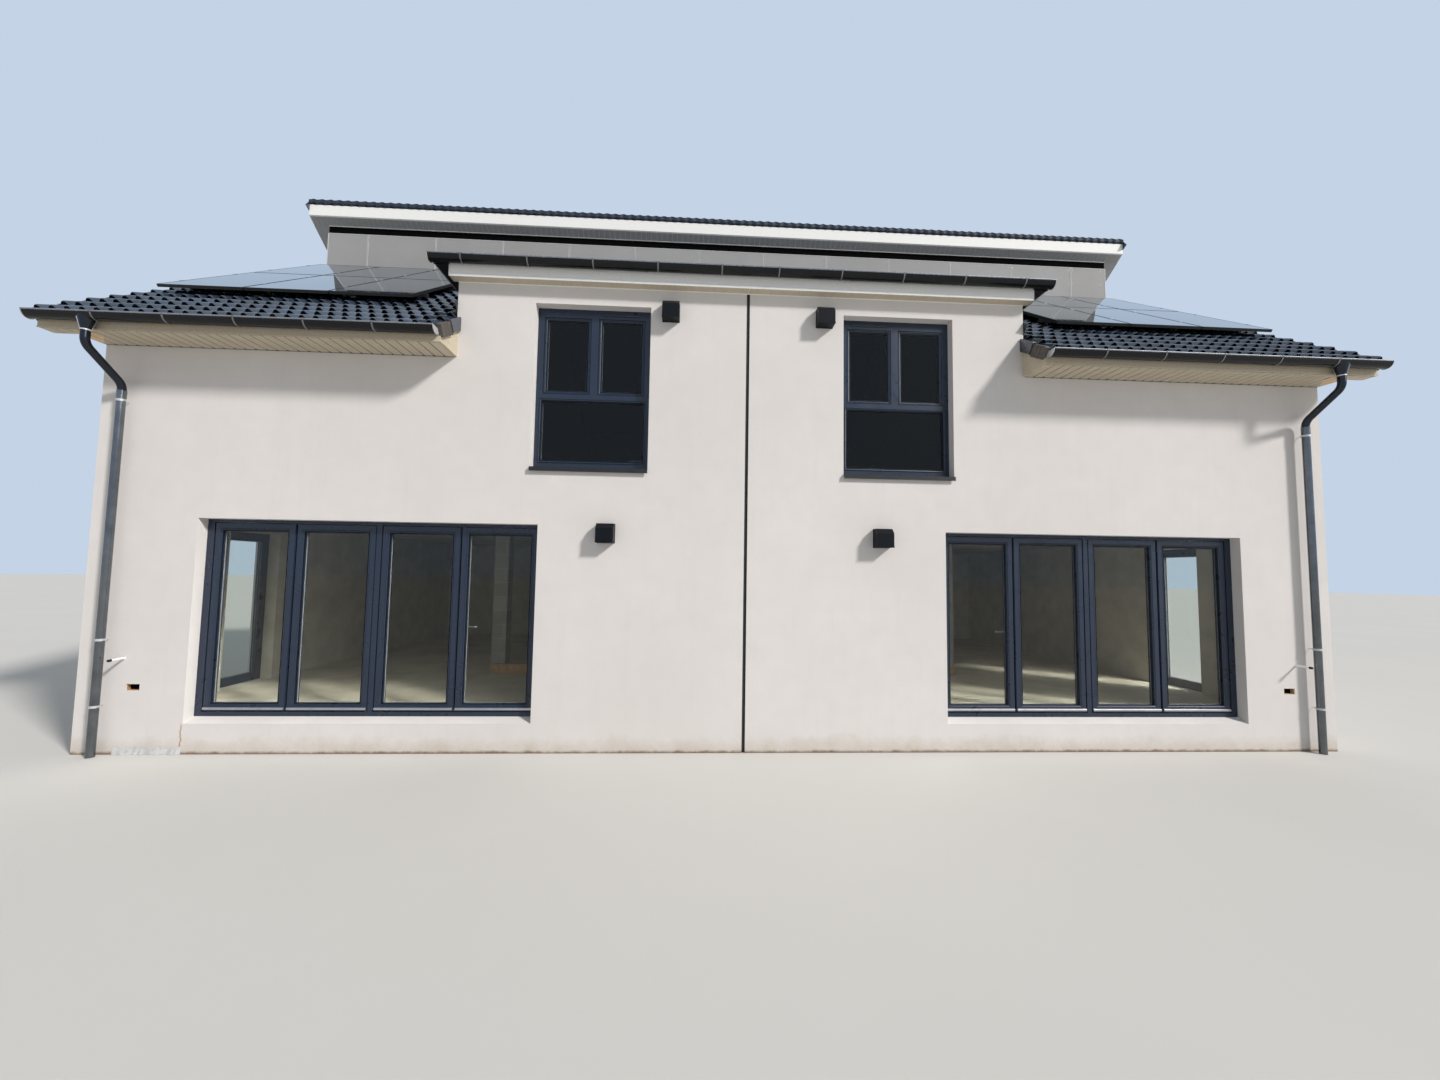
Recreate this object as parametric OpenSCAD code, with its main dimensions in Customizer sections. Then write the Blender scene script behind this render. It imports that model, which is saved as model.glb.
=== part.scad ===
// House of two mirrored dwellings under one roof, with a garden facade and a rear facade.
// X runs along the facades, Y from the garden side to the rear, Z up from the ground.
// The origin is the middle of the building at ground level.
// Inside the modules, y counts inwards from a facade's outer face.

/* [Building] */
// Half of the building's width, from the joint between the dwellings to a gable's face
half_w = 7600; // [6300:50:9200]
// Depth from facade to facade
house_d = 8560; // [7100:20:10300]
// Thickness of the outer walls
wall_t = 380; // [300:10:460]
// Thickness of each dwelling's own leaf of the party wall
party_t = 200; // [150:10:300]
// Width of the joint between the dwellings
joint_w = 40; // [20:5:60]
// How far the joint strip lies behind the facade
joint_recess = 15; // [5:1:40]

/* [Floors] */
// Level of the ground floor over the ground
floor_z = 390; // [300:10:500]
// Level of the upper floor
upper_z = 3100; // [3000:20:3700]
// Thickness of the upper floor
upper_floor_t = 300; // [200:10:380]

/* [Low roof] */
// Pitch of the main roofs
roof_pitch = 35; // [29:1:42]
// Top of the tiles at the low eave
eave_z = 4915; // [4715:20:5415]
// How far the tiles reach out past the facade
tile_out = 500; // [450:10:600]
// How far the low fascia stands out from the facade
fascia_out = 420; // [340:10:500]
// Underside of the low soffit
soffit_z = 4735; // [4500:5:5100]
// How far the roofs reach past the gables
verge_out = 280; // [200:10:350]
// Depth of the garden roof's verge boxes under the rafters
verge_drop = 94; // [50:2:130]
// Thickness of tiles and battens
cover_t = 55; // [45:1:70]
// Thickness of rafters and boarding
deck_t = 145; // [120:5:180]

/* [Raised centre] */
// Half of the raised centre's width
raised_half_w = 3580; // [3000:20:4300]
// Top of the tiles at the raised eave
raised_eave_z = 5927; // [5807:5:6307]
// How far its tiles reach out past the facade
raised_tile_out = 210; // [180:10:300]
// How far its fascia stands out from the facade
raised_fascia_out = 130; // [110:10:200]
// Underside of its soffit
raised_soffit_z = 5680; // [5560:5:5800]
// How far its roof reaches past its cheeks
raised_verge_out = 230; // [150:10:300]
// Underside of its verge boxes
raised_verge_z = 5812; // [5760:2:5860]
// Thickness of the cheeks
cheek_t = 150; // [100:10:200]

/* [Clerestory] */
// How far the rear roof passes over the garden roof at the clad wall
clad_rise = 1162; // [950:2:1400]
// Thickness of the clad wall behind its panels
clad_wall_t = 220; // [150:10:300]
// Cavity behind the panels
clad_cavity = 18; // [15:1:30]
// Thickness of a panel
panel_t = 12; // [8:1:16]
// Spacing of the panels
panel_pitch = 1250; // [1050:10:1500]
// Joint between two panels
panel_gap = 8; // [5:1:12]
// Flashing height between the roof and the panels
panel_foot = 70; // [40:5:120]
// Open strip between the panels and the top soffit
vent_h = 165; // [100:5:200]
// How far the top roof reaches out over the panels
top_out = 134; // [110:2:170]

/* [Boards and gutters] */
// Thickness of fascias and soffits
board_t = 18; // [15:1:25]
// Outer radius of a gutter
gutter_r = 75; // [62:1:90]
// Thickness of the gutter sheet
gutter_t = 4; // [2:1:6]
// How far the low gutters reach past the gables
gutter_end_out = 285; // [200:5:400]
// Outer diameter of a downpipe
pipe_d = 100; // [76:1:120]
// Distance of the downpipes from the gables
pipe_x = 320; // [250:10:600]
// Distance of a downpipe's axis from the wall
pipe_y = 90; // [70:5:120]

/* [Glazed doors] */
// Width of the wall at the outer side of the glazed doors
corner_w = 1180; // [800:20:1500]
// Width of the clear opening in the wall
door_open_w = 3900; // [3300:20:4000]
// Head of the opening
door_head_z = 2700; // [2300:20:2760]
// How far the door frames reach behind the reveals nearest the joint
frame_lap = 80; // [20:5:100]
// How far they reach behind the reveals nearest the gables
frame_lap_out = 10; // [5:5:60]
// How far they reach up behind the head of the opening
head_lap = 54; // [20:2:70]
// Height of the frames' bottom members over the threshold
frame_foot = 50; // [30:1:80]
// Distance from the facade to the frames
frame_set = 130; // [100:10:230]
// Depth of the frames
frame_d = 80; // [60:2:100]
// Face width of the frames
frame_face = 90; // [60:1:110]
// Width of the post between the two door pairs
post_w = 60; // [50:1:180]
// Face width of the leaves' profiles
stile_w = 93; // [70:1:115]
// Thickness of a leaf
leaf_t = 70; // [56:2:90]
// Gap between a leaf and its frame
leaf_gap = 6; // [5:1:8]
// Gap between the two leaves of a pair
meet_gap = 14; // [13:1:18]
// Drop of the threshold from the frames to the facade
ledge_drop = 50; // [20:5:80]
// Distance from the gable to the recess in the wall beside the doors
recess_x = 610; // [400:10:700]
// Width of the recess
recess_w = 146; // [100:2:200]
// Height of the recess
recess_h = 72; // [50:2:120]

/* [Windows] */
// Edge of the upper window nearest the joint
window_x = 1220; // [900:20:1600]
// Width of the upper window
window_w = 1420; // [1100:20:1700]
// Sill of the upper window over the floor
window_sill = 300; // [200:10:400]
// Height of the upper window
window_h = 2050; // [1650:10:2150]
// Height of the lower pane up to the transom's middle
transom_h = 908; // [600:4:1000]
// Face width of the window frames' uprights
window_face = 80; // [55:1:90]
// Face width of their top and bottom rails
window_rail = 112; // [60:1:120]
// Face width of mullions and transoms
bar_w = 94; // [60:1:110]
// Face width of the casements that shows inside the frame
sash_w = 45; // [35:1:60]
// How far the casements lie behind the frame's face
sash_set = 14; // [5:1:25]
// Distance from the facade to the side window near the corner
side_window_y = 1400; // [1000:20:1700]
// Width of the side window
side_window_w = 900; // [700:20:1100]
// Thickness of a pane
pane_t = 24; // [20:1:36]

/* [Solar modules] */
// Width of a module
module_w = 1050; // [900:10:1150]
// Length of a module up the roof
module_l = 1700; // [1400:10:1760]
// Thickness of a module
module_t = 35; // [30:1:40]
// Gap between modules
module_gap = 13; // [8:1:20]
// Height of the modules' backs over the tiles
module_lift = 85; // [60:5:120]
// Distance from the facade to the lowest module edge
module_y = 530; // [300:10:700]

/* [Hidden] */
$fn = 48;
slip = 0.2;                              // running clearance of a hinge pin
bed = 0.3;                               // gap where sloping pieces bear on each other
clad_y = (house_d - clad_rise / tan(roof_pitch)) / 2;        // from the garden facade to the panels
clad_back = clad_y + panel_t + clad_cavity + clad_wall_t;
clad_face = clad_y + panel_t + clad_cavity;
raised_pitch = atan((eave_z + tan(roof_pitch) * (clad_y + tile_out) - raised_eave_z)
                    / (clad_y + raised_tile_out));
// A roof is its eave level, how far its tiles reach out, its pitch, its fascia and its soffit
main = [eave_z, tile_out, roof_pitch, fascia_out, soffit_z];
raised = [raised_eave_z, raised_tile_out, raised_pitch, raised_fascia_out, raised_soffit_z];
ridge_y = house_d - clad_y + top_out;    // from the rear facade to the top roof's front edge
room_x0 = joint_w / 2 + party_t;
room_x1 = half_w - wall_t;
door_x1 = half_w - corner_w;
door_x0 = door_x1 - door_open_w;
frame_x0 = door_x0 - frame_lap;
frame_x1 = door_x1 + frame_lap_out;
unit_w = (frame_x1 - frame_x0 - post_w) / 2 - frame_face;     // clear width of one door pair
leaf_w = (unit_w - 2 * leaf_gap - meet_gap) / 2;
frame_z1 = door_head_z + head_lap;
leaf_z0 = floor_z + frame_foot + leaf_gap;
leaf_z1 = frame_z1 - frame_face - leaf_gap;
drip_out = 22;                           // drip bar in front of a leaf
drip_rise = 22;                          // from the leaf's lower edge up to the bar
drip_h = 22;
leaf_y0 = frame_set + frame_d - leaf_t;                      // leaves lie flush with the inside
hinge_out = 10;                                              // axis in front of the leaf's inner face
hinge_y = frame_set + frame_d + hinge_out;
rim_drop = 2;                            // a gutter's rim under the tiles' lower edge
neck_angle = 41;                         // slope of the swan neck from the vertical
clamp_h = 30;
clamp_zs = [540, 1280, 4050];
clamp_t = 4;
clamp_pin_d = 10;
elbow_d = pipe_d + 6;
funnel_z = 190;                          // foot of the swan neck's socket under the gutter
funnel_h = 165;
socket_h = 70;
recess_z = 712;                          // recess in the wall beside the doors, over the ground
recess_d = 60;
knuckle_r = 8.5;
pin_r = 5;
knuckle_h = 45;
flap_t = 5;                              // sheet of a hinge's flaps
fixed_flap_w = 30;
leaf_flap_w = 35;
hinge_zs = [leaf_z0 + 200, (leaf_z0 + leaf_z1) / 2, leaf_z1 - 200 - 2 * knuckle_h];
window_z0 = upper_z + window_sill;
window_z1 = window_z0 + window_h;
side_window_z1 = door_head_z - 50;
side_x0 = side_window_y - house_d / 2;   // side window's edge from the gable's middle
pane_y = frame_set + (frame_d - pane_t) / 2;
rear_door_x = 900;                       // entrance door's edge from the joint
rear_door_w = 1100;
rear_window_x = 3100;                    // out of sight through the glazed doors
rear_window_w = 1400;
rear_window_sill = 900;
module_step_x = module_w + module_gap;
strip_d = 40;                            // depth of the joint strips
batten_w = 40;
batten_set = 20;                         // from a panel's edge to its batten
raised_box_out = 60;                     // raised eave's boards past the cheeks
raised_gutter_out = 30;                  // raised gutter's ends past the verge
rail_w = 40;
rail_out = 30;                           // rails past the modules
hood_w = 210;
hood_d = 150;
hood_h = 230;
hood_slant = 60;
hoods = [[970, 5270], [1700, 2490]];     // middle and foot of each hood
pier_x = 3850;
pier_y = 2930;
pier_w = 240;
module_margin = 310;                     // bare tiles between the modules and the verge
module_cols = floor((half_w + verge_out - raised_half_w - module_margin - 400) / module_step_x);
module_x1 = half_w + verge_out - module_margin;
module_head = 130;                       // bare tiles between the modules and the clad wall
module_rows = min(2, floor(((clad_y - module_y) / cos(roof_pitch) - module_head + module_gap)
                           / (module_l + module_gap)));

// Heights over the ground of a roof's tiles, its deck and its underside
function top(r, y) = r[0] + tan(r[2]) * (y + r[1]);
function deck_top(r, y) = top(r, y) - cover_t / cos(r[2]);
function under(r, y) = deck_top(r, y) - deck_t / cos(r[2]);
function soffit_top(r) = r[4] + board_t;
function rim_z(r) = r[0] - cover_t * cos(r[2]) - rim_drop;
// Where a roof's underside rises past its soffit
function cut_y(r) = (soffit_top(r) - under(r, 0)) / tan(r[2]);
// Top of a facade wall under a roof
function wall_top(r, y) = max(under(r, y), soffit_top(r));
function clamp(v, low, high) = min(max(v, low), high);

module box(x0, x1, y0, y1, z0, z1) {
    translate([x0, y0, z0]) cube([x1 - x0, y1 - y0, z1 - z0]);
}

// Extrudes a profile of y and z along X
module along_x(x0, x1) {
    translate([x0, 0, 0]) rotate([90, 0, 90]) linear_extrude(x1 - x0) children();
}

module both_halves() {
    children();
    mirror([1, 0, 0]) children();
}

module from_facade() {
    translate([0, -house_d / 2, 0]) children();
}

module from_rear() {
    mirror([0, 1, 0]) from_facade() children();
}

module front_and_rear() {
    from_facade() children();
    from_rear() children();
}

// Upright ring of profiles with an outer size and a face width
module ring(x0, x1, y0, y1, z0, z1, face) {
    difference() {
        box(x0, x1, y0, y1, z0, z1);
        box(x0 + face, x1 - face, y0 - 1, y1 + 1, z0 + face, z1 - face);
    }
}

module ground_slabs() {
    color("gray") both_halves() from_facade()
        box(room_x0, room_x1, wall_t, house_d - wall_t, 0, floor_z);
}

module upper_floors() {
    color("darkgray") both_halves() from_facade()
        box(room_x0, room_x1, wall_t, house_d - wall_t, upper_z - upper_floor_t, upper_z);
}

// Piers beside the glazed doors, stepped behind the reveals to take the frames
module front_piers() {
    x = half_w - recess_x;
    color("whitesmoke") both_halves() from_facade() {
        difference() {
            linear_extrude(door_head_z) polygon([
                [door_x1, 0], [half_w, 0], [half_w, wall_t], [frame_x1, wall_t],
                [frame_x1, frame_set], [door_x1, frame_set]]);
            box(x - recess_w / 2, x + recess_w / 2, -1, recess_d, recess_z, recess_z + recess_h);
        }
        linear_extrude(door_head_z) polygon([
            [joint_w / 2, 0], [door_x0, 0], [door_x0, frame_set], [frame_x0, frame_set],
            [frame_x0, wall_t], [joint_w / 2, wall_t]]);
    }
}

// Masonry under the glazed doors, with a ledge that falls to the facade
module door_thresholds() {
    color("whitesmoke") both_halves() from_facade() {
        along_x(door_x0, door_x1) polygon([
            [0, 0], [0, floor_z - ledge_drop], [frame_set, floor_z], [frame_set, 0]]);
        along_x(frame_x0, frame_x1) polygon([
            [frame_set, 0], [frame_set, floor_z], [wall_t, floor_z], [wall_t, 0]]);
    }
}

// Wall over the glazed doors, rebated behind the head to take the frames
module front_bands() {
    color("whitesmoke") both_halves() from_facade() difference() {
        box(joint_w / 2, half_w, 0, wall_t, door_head_z, upper_z);
        box(frame_x0, frame_x1, frame_set, wall_t + 1, door_head_z - 1, frame_z1);
    }
}

module rear_ground_walls() {
    color("whitesmoke") both_halves() from_rear() difference() {
        box(joint_w / 2, half_w, 0, wall_t, 0, upper_z);
        box(rear_door_x, rear_door_x + rear_door_w, -1, wall_t + 1, floor_z, door_head_z);
        box(rear_window_x, rear_window_x + rear_window_w, -1, wall_t + 1,
            floor_z + rear_window_sill, door_head_z);
    }
}

// Facade wall of the upper storey under a roof
module storey_wall(r, x0, x1) {
    bend = clamp(cut_y(r), 0, wall_t);
    along_x(x0, x1) polygon([
        [0, upper_z], [0, wall_top(r, 0) - bed], [bend, wall_top(r, bend) - bed],
        [wall_t, wall_top(r, wall_t) - bed], [wall_t, upper_z]]);
}

module knee_walls() {
    color("whitesmoke") both_halves() front_and_rear()
        storey_wall(main, raised_half_w, half_w);
}

module raised_walls() {
    color("whitesmoke") both_halves() front_and_rear() difference() {
        storey_wall(raised, joint_w / 2, raised_half_w);
        box(window_x, window_x + window_w, -1, wall_t + 1, window_z0, window_z1);
    }
}

module gable_ground_walls() {
    color("whitesmoke") both_halves() from_facade() difference() {
        box(room_x1, half_w, wall_t, house_d - wall_t, 0, upper_z);
        box(room_x1 - 1, half_w + 1, side_window_y, side_window_y + side_window_w,
            floor_z, side_window_z1);
    }
}

// Cross section of the building under its roofs, between the facade walls
module section(z0) {
    translate([0, -bed]) polygon([
        [wall_t, z0 + bed], [wall_t, under(main, wall_t)], [clad_y, under(main, clad_y)],
        [clad_back, under(main, clad_y)], [clad_back, under(main, house_d - clad_back)],
        [house_d - wall_t, under(main, wall_t)], [house_d - wall_t, z0 + bed]]);
}

module gable_upper_walls() {
    mid_y = house_d / 2;
    color("whitesmoke") both_halves() from_facade() difference() {
        along_x(room_x1, half_w) section(upper_z);
        box(room_x1 - 1, half_w + 1, mid_y - window_w / 2, mid_y + window_w / 2,
            window_z0, window_z1);
    }
}

module party_walls() {
    color("darkgray") both_halves() from_facade()
        along_x(joint_w / 2, room_x0) section(0);
}

// Dark strips that close the joint in both facades
module joint_strips() {
    color("dimgray") front_and_rear()
        box(-joint_w / 2, joint_w / 2, joint_recess, joint_recess + strip_d, 0, raised_soffit_z);
}

// Height of the rear roof's underside, with y from the garden facade
function rear_under(y) = under(main, house_d - y);

module clerestory_wall() {
    color("silver") both_halves() from_facade() along_x(joint_w / 2, half_w) polygon([
        [clad_face, under(main, clad_y)], [clad_face, rear_under(clad_face) - bed],
        [clad_back, rear_under(clad_back) - bed], [clad_back, under(main, clad_y)]]);
}

// Panels side by side, one centred on the joint, on battens behind their edges
module clerestory_panels() {
    z0 = top(main, clad_y) + panel_foot;
    z1 = rear_under(clad_face) - vent_h;
    color("gray") from_facade() for (i = [-8 : 8]) {
        x0 = max(i * panel_pitch - panel_pitch / 2 + panel_gap / 2, -half_w);
        x1 = min(i * panel_pitch + panel_pitch / 2 - panel_gap / 2, half_w);
        if (x1 - x0 > 100) {
            box(x0, x1, clad_y, clad_y + panel_t, z0, z1);
            for (x = [x0 + batten_set, x1 - batten_set - batten_w])
                box(x, x + batten_w, clad_y + panel_t, clad_face, z0, z1);
        }
    }
}

// Dark strip over the panels, where the cavity breathes
module vent_strip() {
    color("black") both_halves() from_facade()
        box(joint_w / 2, half_w, clad_y + panel_t, clad_face, rear_under(clad_face) - vent_h + 5,
            rear_under(clad_face) - board_t / cos(roof_pitch));
}

// Closed box under a verge as deep as drop, level over the eave and then along the rafters.
// Its soffit ends at y1 and its side at y2.
module verge_box(y1, y2, drop) {
    y0 = board_t - fascia_out;
    foot = (soffit_z + drop - under(main, 0)) / tan(roof_pitch);
    edge = half_w + verge_out;
    rise = board_t / cos(roof_pitch);
    along_x(half_w, edge - board_t) polygon([
        [y0, soffit_z], [foot, soffit_z], [y1, under(main, y1) - drop],
        [y1, under(main, y1) - drop + rise - bed], [foot, soffit_top(main)], [y0, soffit_top(main)]]);
    along_x(edge - board_t, edge) polygon([
        [y0, soffit_z], [foot, soffit_z], [y2, under(main, y2) - drop],
        [y2, deck_top(main, y2) - bed], [y0, deck_top(main, y0) - bed]]);
}

// Rafters and boarding of a roof from its fascia up to y1, cut level over its soffit
module deck_profile(r, y1) {
    y0 = board_t - r[3];
    bend = max(cut_y(r), y0);
    polygon([
        [y0, wall_top(r, y0)], [bend, wall_top(r, bend)], [y1, under(r, y1)],
        [y1, deck_top(r, y1)], [y0, deck_top(r, y0)]]);
}

module cover_profile(r, y1) {
    polygon([
        [-r[1], top(r, -r[1])], [y1, top(r, y1)], [y1, deck_top(r, y1)],
        [cover_t * sin(r[2]) - r[1], top(r, -r[1]) - cover_t * cos(r[2])]]);
}

module front_decks() {
    color("sienna") both_halves() from_facade()
        along_x(raised_half_w, half_w + verge_out - board_t) deck_profile(main, clad_face);
}

module front_tiles() {
    color("darkslategray") both_halves() from_facade()
        along_x(raised_half_w, half_w + verge_out) cover_profile(main, clad_face);
}

// The rear roof runs up over the clerestory, and is open where the raised centre comes through
module rear_deck() {
    edge = half_w + verge_out - board_t;
    color("sienna") from_rear() difference() {
        along_x(-edge, edge) deck_profile(main, ridge_y - board_t);
        rear_gap();
    }
}

module rear_gap() {
    box(-raised_half_w, raised_half_w, -2 * tile_out, clad_y, 0, 3 * eave_z);
}

module rear_tiles() {
    color("darkslategray") from_rear() difference() {
        along_x(-half_w - verge_out, half_w + verge_out) cover_profile(main, ridge_y);
        rear_gap();
    }
}

// Cuts what would reach into the low roof, with a small gap over its tiles
module clear_of_low_roof() {
    reach = raised_half_w + raised_verge_out + 1;
    difference() {
        children();
        both_halves() front_and_rear() along_x(raised_half_w, reach) polygon([
            [-tile_out, top(main, -tile_out) + 1], [clad_face, top(main, clad_face) + 1],
            [clad_face, 0], [-tile_out, 0]]);
    }
}

module raised_decks() {
    color("sienna") {
        from_facade() along_x(-raised_half_w, raised_half_w) deck_profile(raised, clad_face);
        from_rear() along_x(-raised_half_w, raised_half_w) deck_profile(raised, clad_y);
    }
}

module raised_tiles() {
    edge = raised_half_w + raised_verge_out;
    color("darkslategray") clear_of_low_roof() {
        from_facade() along_x(-edge, edge) cover_profile(raised, clad_face);
        from_rear() along_x(-edge, edge) cover_profile(raised, clad_y);
    }
}

// Section of a verge box from y0 up to y1, level below
module raised_verge_profile(y0, y1) {
    polygon([
        [y0, raised_verge_z], [y1, raised_verge_z], [y1, deck_top(raised, y1) - bed],
        [y0, deck_top(raised, y0) - bed]]);
}

// Box under a raised verge, behind the fascia as far as this reaches
module raised_verge_box(y1) {
    x = raised_half_w + raised_box_out;
    along_x(raised_half_w, x) raised_verge_profile(board_t - raised_fascia_out, y1);
    along_x(x, raised_half_w + raised_verge_out) raised_verge_profile(-raised_fascia_out, y1);
}

// Side walls of the raised centre between the low roof's underside and its own, and the
// boxes that carry its verges over the low roof
module raised_cheeks() {
    color("dimgray") both_halves() {
        front_and_rear() along_x(raised_half_w - cheek_t, raised_half_w) polygon([
            [wall_t, under(main, wall_t)], [wall_t, wall_top(raised, wall_t) - bed],
            [clad_y, under(raised, clad_y) - bed], [clad_y, under(main, clad_y)]]);
        clear_of_low_roof() {
            from_facade() raised_verge_box(clad_face);
            from_rear() raised_verge_box(clad_y);
        }
    }
}

// Fascia and soffit of an eave from x0 to x1, with its fascia carried on to x2
module eave_boards(r, x0, x1, x2) {
    y0 = -r[3];
    box(x0, x2, y0, y0 + board_t, r[4], deck_top(r, y0) - bed);
    box(x0, x1, y0, 0, r[4], soffit_top(r));
}

// Board that closes the end of an eave from its soffit up to its tiles
module eave_end(r, x0) {
    y0 = -r[3];
    along_x(x0, x0 + board_t) polygon([
        [y0, r[4]], [0, r[4]], [0, deck_top(r, 0) - bed], [y0, deck_top(r, y0) - bed]]);
}

module low_eave_boards() {
    color("ivory") both_halves() front_and_rear() {
        eave_boards(main, raised_half_w, half_w, half_w + verge_out);
        eave_end(main, raised_half_w - board_t);
    }
    color("ivory") both_halves() {
        from_facade() verge_box(clad_face, clad_face, verge_drop);
        from_rear() verge_box(house_d - clad_face, ridge_y - board_t, board_t / cos(roof_pitch));
    }
}

module raised_eave_boards() {
    edge = raised_half_w + raised_box_out;
    color("ivory") front_and_rear() {
        eave_boards(raised, -edge, edge, edge);
        both_halves() box(raised_half_w, edge, board_t - raised_fascia_out, 0,
                          soffit_top(raised), raised_verge_z);
    }
}

// Fascia of the top roof, and soffit boards that follow its rafters down to the clad wall
module top_boards() {
    y0 = clad_y - top_out;
    edge = half_w + verge_out;
    drop = board_t / cos(roof_pitch);
    color("white") from_facade() {
        along_x(-edge, edge) polygon([
            [y0, rear_under(y0) - drop], [y0 + board_t, rear_under(y0 + board_t) - drop],
            [y0 + board_t, deck_top(main, ridge_y - board_t) - bed],
            [y0, deck_top(main, ridge_y) - bed]]);
        along_x(board_t - edge, edge - board_t) polygon([
            [y0 + board_t, rear_under(y0 + board_t) - drop],
            [clad_face, rear_under(clad_face) - drop], [clad_face, rear_under(clad_face) - bed],
            [y0 + board_t, rear_under(y0 + board_t) - bed]]);
    }
}

// Half round trough with closed ends, its back against the fascia
module gutter(x0, x1, y_back, rim_z) {
    y = y_back - gutter_r;
    difference() {
        translate([x0, y, rim_z]) rotate([0, 90, 0]) cylinder(r = gutter_r, h = x1 - x0);
        translate([x0 + gutter_t, y, rim_z]) rotate([0, 90, 0])
            cylinder(r = gutter_r - gutter_t, h = x1 - x0 - 2 * gutter_t);
        box(x0 - 1, x1 + 1, y - gutter_r - 1, y + gutter_r + 1, rim_z, rim_z + gutter_r + 1);
    }
}

module gutters() {
    raised_end = raised_half_w + raised_verge_out + raised_gutter_out;
    color("slategray") front_and_rear() {
        both_halves()
            gutter(raised_half_w, half_w + gutter_end_out, -fascia_out, rim_z(main));
        gutter(-raised_end, raised_end, -raised_fascia_out, rim_z(raised));
    }
}

// Ring round the pipe with its pin into the wall
module pipe_clamp(z) {
    translate([0, 0, z]) cylinder(d = pipe_d + 2 * clamp_t, h = clamp_h);
    translate([0, pipe_d / 2, z + clamp_h / 2]) rotate([-90, 0, 0])
        cylinder(d = clamp_pin_d, h = pipe_y - pipe_d / 2);
}

// Funnel under the gutter, swan neck back to the wall, and straight pipe in its clamps
module downpipe() {
    x = half_w - pipe_x;
    y0 = -fascia_out - gutter_r;
    rim = rim_z(main);
    z0 = rim - gutter_r - funnel_z;
    run = (-pipe_y - y0) / sin(neck_angle);
    z1 = z0 - run * cos(neck_angle);
    color("slategray") {
        difference() {
            translate([x, y0, z0 + socket_h])
                cylinder(d1 = pipe_d, d2 = 2 * gutter_r - 6, h = funnel_h);
            translate([x - pipe_d * 2, y0, rim]) rotate([0, 90, 0])
                cylinder(r = gutter_r + 0.3, h = pipe_d * 4);
        }
        translate([x, y0, z0]) {
            cylinder(d = pipe_d, h = socket_h + 0.5);
            sphere(d = elbow_d);
            rotate([180 + neck_angle, 0, 0]) cylinder(d = pipe_d, h = run);
        }
        translate([x, -pipe_y, z1]) sphere(d = elbow_d);
        translate([x, -pipe_y, 0]) {
            cylinder(d = pipe_d, h = z1);
            for (z = clamp_zs) pipe_clamp(z);
        }
    }
}

module downpipes() {
    both_halves() front_and_rear() downpipe();
}

// Places children on the low roof, x along the eave, y up the slope, z off the tiles
module on_low_roof(y) {
    translate([0, y, top(main, y)]) rotate([roof_pitch, 0, 0]) children();
}

module solar_modules() {
    color("midnightblue") both_halves() from_facade() on_low_roof(module_y)
        for (i = [0 : module_cols - 1], j = [0 : module_rows - 1]) {
            x = module_x1 - module_w - i * module_step_x;
            translate([x, j * (module_l + module_gap), module_lift])
                cube([module_w, module_l, module_t]);
        }
}

// Two rails under each row, on blocks that stand on the tiles
module solar_rails() {
    rail = rail_w;
    x0 = module_x1 - module_cols * module_step_x + module_gap - rail_out;
    color("silver") both_halves() from_facade() on_low_roof(module_y)
        for (j = [0 : module_rows - 1], k = [0.22, 0.78]) {
            y = j * (module_l + module_gap) + k * module_l;
            translate([x0, y, module_lift - rail - bed])
                cube([module_x1 + rail_out - x0, rail, rail]);
            for (i = [0 : 3])
                translate([x0 + 100 + i * (module_x1 - x0 - 210) / 3, y, bed])
                    cube([rail, rail, module_lift - rail - 2 * bed]);
        }
}

// Left and right edges of a window's two casements
function casements(x0, x1) = [[x0 + window_face, (x0 + x1 - bar_w) / 2],
                              [(x0 + x1 + bar_w) / 2, x1 - window_face]];

// Two casements side by side over one fixed pane, stepped back where the casements lie
module window_frame(x0, x1, z0, z1, mid_z) {
    y0 = frame_set;
    y1 = y0 + frame_d + 1;
    low = mid_z + bar_w / 2;
    high = z1 - window_rail;
    difference() {
        box(x0, x1, y0, y1 - 1, z0, z1);
        box(x0 + window_face, x1 - window_face, y0 - 1, y1, z0 + window_rail, mid_z - bar_w / 2);
        for (c = casements(x0, x1)) {
            box(c[0], c[1], y0 - 1, y0 + sash_set, low, high);
            box(c[0] + sash_w, c[1] - sash_w, y0 - 1, y1, low + sash_w, high - sash_w);
        }
    }
}

module window_panes_of(x0, x1, z0, z1, mid_z) {
    y1 = pane_y + pane_t;
    low = mid_z + bar_w / 2;
    box(x0 + window_face, x1 - window_face, pane_y, y1, z0 + window_rail, mid_z - bar_w / 2);
    for (c = casements(x0, x1))
        box(c[0] + sash_w, c[1] - sash_w, pane_y, y1, low + sash_w, z1 - window_rail - sash_w);
}

// Children stand in a gable as they would in a facade, x counted along the gable from its middle
module in_gable() {
    translate([half_w, 0, 0]) rotate([0, 0, 90]) children();
}

module window_frames() {
    color("darkslategray") {
        both_halves() front_and_rear()
            window_frame(window_x, window_x + window_w, window_z0, window_z1,
                         window_z0 + transom_h);
        both_halves() in_gable()
            window_frame(-window_w / 2, window_w / 2, window_z0, window_z1,
                         window_z0 + transom_h);
        both_halves() from_rear()
            window_frame(rear_window_x, rear_window_x + rear_window_w,
                         floor_z + rear_window_sill, door_head_z,
                         floor_z + rear_window_sill + 500);
        both_halves() in_gable()
            ring(side_x0, side_x0 + side_window_w, frame_set, frame_set + frame_d, floor_z,
                 side_window_z1, window_face + sash_w);
    }
}

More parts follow.
